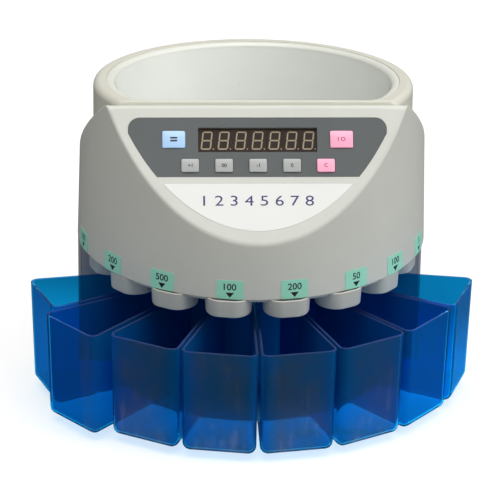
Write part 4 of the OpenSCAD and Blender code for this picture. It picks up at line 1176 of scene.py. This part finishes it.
def figures(text, height, bold=0.0):
    """Flat figures of a given height about their middle."""
    data = bpy.data.curves.new("figures", "FONT")
    data.body = text
    data.resolution_u = 4
    data.offset = bold
    item = bpy.data.objects.new("figures", data)
    bpy.context.scene.collection.objects.link(item)
    mesh = settled_mesh(item)
    bm = bmesh.new()
    bm.from_mesh(mesh)
    bpy.data.objects.remove(item)
    bpy.data.curves.remove(data)
    bpy.data.meshes.remove(mesh)
    bmesh.ops.remove_doubles(bm, verts=bm.verts, dist=CLOSE)
    low = Vector([min(v.co[i] for v in bm.verts) for i in range(3)])
    high = Vector([max(v.co[i] for v in bm.verts) for i in range(3)])
    shift(bm, -(low + high) / 2)
    bmesh.ops.scale(bm, vec=(height / (high.y - low.y),) * 3, verts=bm.verts)
    thicken(bm, INK)
    return bm


def thicken(bm, thickness):
    """Gives flat faces a thickness upwards."""
    bmesh.ops.recalc_face_normals(bm, faces=bm.faces)
    made = bmesh.ops.extrude_face_region(bm, geom=bm.faces[:])
    top = [part for part in made["geom"] if isinstance(part, bmesh.types.BMVert)]
    bmesh.ops.translate(bm, vec=(0, 0, thickness), verts=top)
    bmesh.ops.recalc_face_normals(bm, faces=bm.faces)


def slice_up(bm, step):
    """Cuts a flat piece into strips, so that it can bend."""
    low = min(v.co.x for v in bm.verts)
    high = max(v.co.x for v in bm.verts)
    for k in range(1, math.ceil((high - low) / step)):
        bmesh.ops.bisect_plane(
            bm, geom=bm.verts[:] + bm.edges[:] + bm.faces[:], dist=1e-8,
            plane_co=(low + k * step, 0, 0), plane_no=(1, 0, 0))


def join(bm, other, matrix=Matrix.Identity(4)):
    """Adds another bmesh, moved by a matrix."""
    move(other, matrix)
    mesh = bpy.data.meshes.new("part")
    other.to_mesh(mesh)
    other.free()
    bm.from_mesh(mesh)
    bpy.data.meshes.remove(mesh)


class COUNTER_OT_keys(bpy.types.Operator):
    """Model the seven domed keys and their marks"""
    bl_idname = "counter.keys"
    bl_label = "Keys"

    FINISHES = {"key_left": "key_blue", "key_right": "key_pink", "key_5": "key_pink"}
    MARKS = {
        "key_left": ("=", 3.6), "key_right": ("I O", 3.4), "key_1": ("+1", 3), "key_2": ("00", 3),
        "key_3": ("-1", 3), "key_4": ("0", 3), "key_5": ("C", 3),
    }
    MARK_BOLD = 0.02
    MARK_STRIP = 0.8 * MM
    MARK_LIFT = 0.01 * MM

    def execute(self, context):
        scene = context.scene
        drum, panel = scene.counter_drum, scene.counter_panel
        matrix = panel_matrix(drum)
        for name, (x, y, width, height) in key_places(panel).items():
            slot = self.FINISHES.get(name, "key_grey")
            place = matrix @ Matrix.Translation((x, y, 0))
            bm = self.model(drum, panel, width, height)
            move(bm, place)
            finish_piece(new_object(f"{name}_cap", bm), slot, name, [name], degrees=40)
            text, size = self.MARKS[name]
            mark = figures(text, size * MM, self.MARK_BOLD)
            slice_up(mark, self.MARK_STRIP)
            shift(mark, (0, 0, panel.key_proud + self.MARK_LIFT))
            self.dome(mark, panel)
            move(mark, place)
            ink = "red_ink" if slot == "key_pink" else "ink"
            finish_piece(new_object(f"{name}_mark", mark), slot, name, finish=ink, weighted=False)
        return {"FINISHED"}

    @staticmethod
    def dome(bm, panel):
        """Lowers what lies above the panel to the key's domed top."""
        for vert in bm.verts:
            if vert.co.z > 0:
                vert.co.z -= (vert.co.x ** 2 + vert.co.y ** 2) / (2 * panel.key_dome)

    def model(self, drum, panel, width, height):
        """Key with a flange, straight sides, a rounded edge and a domed top."""
        under = -drum.wall - SLIP
        flange = 2 * panel.key_flange
        edge, least_corner = 0.45 * MM, 0.1 * MM
        corner = panel.key_corner
        levels = [
            (width + flange, height + flange, corner, under - panel.key_flange),
            (width + flange, height + flange, corner, under),
            (width, height, corner, under),
        ]
        for pull, drop in rounded(edge):
            levels.append((width - 2 * pull, height - 2 * pull, corner - pull / 2, panel.key_proud - drop))
        for share in (0.2, 0.4, 0.6, 0.8, 0.95):
            pull = share * (height / 2 - 2 * edge) + edge
            inner_corner = corner * (1 - share) + least_corner
            levels.append((width - 2 * pull, height - 2 * pull, inner_corner, panel.key_proud))
        bm = bmesh.new()
        loft(bm, [round_rect(w, h, c, z, between=12) for w, h, c, z in levels])
        tidy(bm)
        self.dome(bm, panel)
        return bm


class COUNTER_OT_display(bpy.types.Operator):
    """Model the display's lens, its unlit digits and the row of figures below"""
    bl_idname = "counter.display"
    bl_label = "Display"

    def execute(self, context):
        scene = context.scene
        drum, panel = scene.counter_drum, scene.counter_panel
        bm = bmesh.new()
        pitch = panel.window_w / panel.digits
        for k in range(panel.digits):
            join(bm, self.digit(panel), Matrix.Translation(((k - (panel.digits - 1) / 2) * pitch, 0, 0)))
        face = -panel.recess - panel.window_t + panel.overlay_t
        middle_y = -panel.window_top - panel.window_h / 2
        move(bm, panel_matrix(drum) @ Matrix.Translation((0, middle_y, face)))
        lens = bmesh.new()
        corner, edge = 0.4 * MM, 0.25 * MM
        low, high = face + SLIP, panel.overlay_t - panel.recess
        levels = [(0.0, low), (0.0, high - edge), (edge / 3, high - edge / 3), (edge, high)]
        loft(lens, [
            round_rect(panel.window_w - 2 * pull, panel.window_h - 2 * pull, corner, z) for pull, z in levels
        ])
        tidy(lens)
        move(lens, panel_matrix(drum) @ Matrix.Translation((0, middle_y, 0)))
        finish_piece(new_object("display_lens", lens), "window_smoke", replaces=["display_window"])
        finish_piece(new_object("digit_bars", bm), "digit_face", finish="segment", weighted=False)
        row = figures("1 2 3 4 5 6 7 8", panel.row_h)
        low = -panel.overlay_top - panel.overlay_h - panel.band_h
        bmesh.ops.scale(row, vec=(panel.row_stretch, 1, 1), verts=row.verts)
        move(row, panel_matrix(drum) @ Matrix.Translation((0, low - panel.row_s, panel.plate_lift)))
        finish_piece(new_object("plate_figures", row), "plate_white", finish="navy", weighted=False)
        return {"FINISHED"}

    @staticmethod
    def bar(bm, panel, long, turn, place):
        """Bar with pointed ends."""
        made = bmesh.ops.create_circle(bm, cap_ends=True, segments=6, radius=1.0)
        for vert in made["verts"]:
            side, end, _ = vert.co
            reach = long / 2 if abs(end) > 0.9 else long / 2 - panel.stroke / 2
            width = 0.0 if abs(side) < 0.1 else math.copysign(panel.stroke / 2, side)
            vert.co = (math.copysign(reach, end), width, 0.0)
        matrix = Matrix.Translation((*place, 0)) @ Matrix.Rotation(turn, 4, "Z")
        bmesh.ops.transform(bm, matrix=matrix, verts=made["verts"])

    def digit(self, panel):
        """Seven bars and a point, leaning to the right."""
        bm = bmesh.new()
        gap = 0.1 * MM
        x = panel.digit_w / 2 - panel.stroke / 2
        y = panel.digit_h / 2 - panel.stroke / 2
        for level in (-y, 0.0, y):
            self.bar(bm, panel, 2 * x - 2 * gap, 0.0, (0.0, level))
        for side in (-x, x):
            for level in (-y / 2, y / 2):
                self.bar(bm, panel, y - 2 * gap, math.pi / 2, (side, level))
        lean = Matrix.Identity(4)
        lean[0][1] = math.tan(panel.digit_lean)
        move(bm, lean)
        point = bmesh.ops.create_circle(bm, cap_ends=True, segments=16, radius=panel.stroke / 2)
        bmesh.ops.translate(bm, vec=(x + 1.5 * panel.stroke, -y, 0), verts=point["verts"])
        thicken(bm, 2 * INK)
        return bm


class COUNTER_OT_labels(bpy.types.Operator):
    """Model the number labels on the drum and their print"""
    bl_idname = "counter.labels"
    bl_label = "Labels"

    NUMBERS = {
        -74.5: "100", -53: "200", -31.8: "500", -9: "100", 11.5: "200", 33.3: "50", 51.7: "100", 70.5: "5",
    }
    NUMBER_UP, ARROW_UP = 0.65, 0.26
    NUMBER_BOLD = 0.016
    STRIP = 1.2 * MM
    WALL_GAP = 0.02 * MM

    def execute(self, context):
        scene = context.scene
        drum, labels = scene.counter_drum, scene.counter_labels
        plates, print_ = bmesh.new(), bmesh.new()
        for degrees, number in self.NUMBERS.items():
            turn = math.radians(degrees)
            join(plates, self.wrap(self.plate(labels), drum, turn))
            join(print_, self.wrap(self.number(labels, number), drum, turn))
            join(print_, self.wrap(self.arrow(labels), drum, turn))
        finish_piece(
            new_object("number_labels", plates), "label_mint", replaces=["coin_labels"], weighted=False)
        finish_piece(new_object("label_print", print_), "label_mint", finish="ink", weighted=False)
        return {"FINISHED"}

    def plate(self, labels):
        """Thin sheet with round corners, from the wall outwards."""
        bm = bmesh.new()
        bmesh.ops.create_grid(bm, x_segments=14, y_segments=3, size=0.5)
        corners = [v for v in bm.verts if len(v.link_edges) == 2]
        bmesh.ops.scale(bm, vec=(labels.width, labels.height, 1), verts=bm.verts)
        bmesh.ops.bevel(bm, geom=corners, offset=labels.corner, segments=4, profile=0.5, affect="VERTICES",
                        material=-1)
        shift(bm, (0, labels.height / 2, self.WALL_GAP))
        thicken(bm, labels.lift - self.WALL_GAP)
        return bm

    def number(self, labels, text):
        """Plain number above the arrow."""
        bm = figures(text, labels.figure, self.NUMBER_BOLD)
        slice_up(bm, self.STRIP)
        shift(bm, (0, self.NUMBER_UP * labels.height, labels.lift))
        return bm

    def arrow(self, labels):
        """Black triangle that points down to the box."""
        bm = bmesh.new()
        bmesh.ops.create_circle(bm, cap_ends=True, segments=3, radius=1.0)
        bmesh.ops.rotate(bm, cent=(0, 0, 0), matrix=Matrix.Rotation(math.pi, 3, "Z"), verts=bm.verts)
        bmesh.ops.scale(bm, vec=(labels.arrow_w / math.sqrt(3), labels.arrow_h / 1.5, 1), verts=bm.verts)
        thicken(bm, INK)
        slice_up(bm, self.STRIP)
        shift(bm, (0, self.ARROW_UP * labels.height, labels.lift))
        return bm

    @staticmethod
    def wrap(bm, drum, turn):
        """Bends a flat piece round the drum wall."""
        for vert in bm.verts:
            x, height, out = vert.co
            radius = drum_at(drum, SKIRT_Z + height) + out
            way = turn + x / drum.radius
            vert.co = AXIS + Vector((radius * math.sin(way), -radius * math.cos(way), SKIRT_Z + height))
        return bm


# Stage

class COUNTER_OT_stage(bpy.types.Operator):
    """Set up the floor, the lights and the camera"""
    bl_idname = "counter.stage"
    bl_label = "Stage"

    def execute(self, context):
        scene = context.scene
        scene.view_settings.view_transform = "Standard"
        self.floor()
        self.world(scene)
        self.lights(scene)
        self.camera(scene)
        return {"FINISHED"}

    @staticmethod
    def floor():
        """Pale floor under the object."""
        bm = bmesh.new()
        bmesh.ops.create_grid(bm, x_segments=8, y_segments=8, size=6.0)
        floor = new_object("floor", bm)
        paint(floor, "floor")

    @staticmethod
    def world(scene):
        """Even pale surroundings."""
        world = bpy.data.worlds.new("studio")
        world.use_nodes = True
        back = world.node_tree.nodes["Background"]
        back.inputs["Color"].default_value = (1.0, 0.98, 0.93, 1)
        back.inputs["Strength"].default_value = 0.1
        scene.world = world

    @staticmethod
    def lights(scene):
        """Broad soft lights: one overhead, a key from the right and weak ones in front and at the left."""
        sources = [
            ("overhead", (0.03, -0.13, 0.99), 50, 2.86),
            ("key", (0.84, -0.22, 0.5), 50, 1.5),
            ("fill", (-0.1, -0.94, 0.32), 60, 0.22),
            ("side", (-0.75, -0.3, 0.6), 60, 0.28),
        ]
        for name, place, degrees, power in sources:
            data = bpy.data.lights.new(name, "SUN")
            data.energy = power
            data.angle = math.radians(degrees)
            lamp = bpy.data.objects.new(name, data)
            scene.collection.objects.link(lamp)
            lamp.location = Vector(place) * 2
            lamp.rotation_euler = (-Vector(place)).to_track_quat("-Z", "Y").to_euler()

    @staticmethod
    def camera(scene):
        """Camera at the photograph's angle."""
        view = scene.counter_camera
        target = AXIS + Vector((0, 0, view.target_z))
        level = math.cos(view.elevation)
        back = Vector((
            math.sin(view.azimuth) * level,
            -math.cos(view.azimuth) * level,
            math.sin(view.elevation),
        ))
        data = bpy.data.cameras.new("camera")
        data.lens = view.lens
        data.shift_x = view.shift
        data.clip_end = 50.0
        camera = bpy.data.objects.new("camera", data)
        scene.collection.objects.link(camera)
        turn = (-back).to_track_quat("-Z", "Y").to_matrix().to_4x4()
        camera.matrix_world = (
            Matrix.Translation(target + back * view.distance) @ turn @ Matrix.Rotation(view.roll, 4, "Z"))
        scene.camera = camera


# Finishes

class COUNTER_OT_materials(bpy.types.Operator):
    """Make the finishes and put them on the carried-over parts"""
    bl_idname = "counter.materials"
    bl_label = "Finishes"

    def execute(self, context):
        scene = context.scene
        tone = scene.counter_colours
        key = {"specks": 0.05, "coat": 0.3}
        clean = {"specks": 0.0}
        plastics = {
            "cover_plastic": (tone.cover, 0.38, {}),
            "collar_plastic": (tone.collar, 0.36, {}),
            "rear_plastic": (tone.rear, 0.42, {}),
            "bay_paint": (srgb(176, 178, 180), 0.5, {}),
            "chute_plastic": (tone.chute, 0.4, {}),
            "overlay_film": (tone.overlay, 0.4, {"grain": 2600.0, "specks": 0.1, "gloss": 0.2}),
            "plate_white": (tone.plate, 0.3, {"shade": 0.03, "specks": 0.05}),
            "digit_face": (srgb(52, 40, 32), 0.4, clean),
            "key_blue": (tone.key_blue, 0.34, key),
            "key_pink": (tone.key_pink, 0.34, key),
            "key_grey": (tone.key_grey, 0.36, key),
            "label_mint": (tone.label, 0.45, {"grain": 3000.0, "specks": 0.05}),
            "rubber": (srgb(30, 30, 31), 0.75, {"grain": 900.0, "bump": 0.2}),
            "board_green": (srgb(24, 92, 52), 0.4, {}),
            "black_plastic": (srgb(28, 28, 30), 0.45, {}),
            "rocker_red": (srgb(180, 34, 30), 0.3, {}),
            "ink": (tone.ink, 0.5, clean),
            "red_ink": (tone.red_ink, 0.45, clean),
            "navy": (tone.navy, 0.4, clean),
            "segment": (tone.segment, 0.5, clean),
        }
        metals = {
            "steel": (srgb(190, 192, 195), 0.25, {}),
            "disc_aluminium": (srgb(142, 144, 148), 0.5, {"stretch": (1, 1, 1), "scale": 220.0}),
            "bronze": (srgb(190, 150, 90), 0.3, {}),
            "motor_paint": (srgb(120, 122, 126), 0.4, {}),
            "core_iron": (srgb(84, 80, 78), 0.5, {"stretch": (1, 14, 1)}),
        }
        for make, finishes in ((plastic, plastics), (metal, metals)):
            for name, (base, roughness, options) in finishes.items():
                MATERIALS[name] = make(name, base, roughness, **options)
        MATERIALS.update({
            "bowl_plastic": bowl_finish("bowl_plastic", tone.bowl, tone.lip, scene.counter_hopper),
            "window_smoke": smoke_window("window_smoke"),
            "box_blue": box_plastic(
                "box_blue", tone.box, tone.box_rim_highlight, tone.box_haze_and_glow, scene.counter_boxes.pitch),
            "floor": floor_paint("floor", tone.floor),
        })
        for part in frame["record"]["subparts"]:
            paint(frame["nodes"][part["node"]], part["material_slot"])
        soften(frame["nodes"]["rear_housing"], 0.6 * MM)
        return {"FINISHED"}


# Add-on

class COUNTER_PT_panel(bpy.types.Panel):
    """Lists the coin counter's pieces"""
    bl_idname = "COUNTER_PT_panel"
    bl_label = "Coin Counter"
    bl_space_type = "VIEW_3D"
    bl_region_type = "UI"
    bl_category = "Coin Counter"

    def draw(self, context):
        for operator in OPERATORS:
            self.layout.operator(operator.bl_idname)


GROUPS = {
    "counter_drum": DrumSizes,
    "counter_panel": PanelSizes,
    "counter_hopper": HopperSizes,
    "counter_boxes": BoxSizes,
    "counter_chutes": ChuteSizes,
    "counter_labels": LabelSizes,
    "counter_camera": CameraSettings,
    "counter_colours": CounterColours,
}
OPERATORS = [
    COUNTER_OT_materials,
    COUNTER_OT_stage,
    COUNTER_OT_front_cover,
    COUNTER_OT_hopper,
    COUNTER_OT_keys,
    COUNTER_OT_display,
    COUNTER_OT_labels,
    COUNTER_OT_chutes,
    COUNTER_OT_boxes,
]


def register():
    """Adds the settings, the operators and the panel."""
    for group in GROUPS.values():
        bpy.utils.register_class(group)
    for name, group in GROUPS.items():
        setattr(bpy.types.Scene, name, PointerProperty(type=group))
    for kind in [*OPERATORS, COUNTER_PT_panel]:
        bpy.utils.register_class(kind)


def unregister():
    """Removes the panel, the operators and the settings."""
    for kind in [COUNTER_PT_panel, *reversed(OPERATORS)]:
        bpy.utils.unregister_class(kind)
    for name in GROUPS:
        delattr(bpy.types.Scene, name)
    for group in reversed(GROUPS.values()):
        bpy.utils.unregister_class(group)


def main():
    """Builds the counter."""
    register()
    for operator in OPERATORS:
        area, name = operator.bl_idname.split(".")
        getattr(getattr(bpy.ops, area), name)()


if __name__ == "__main__":
    main()
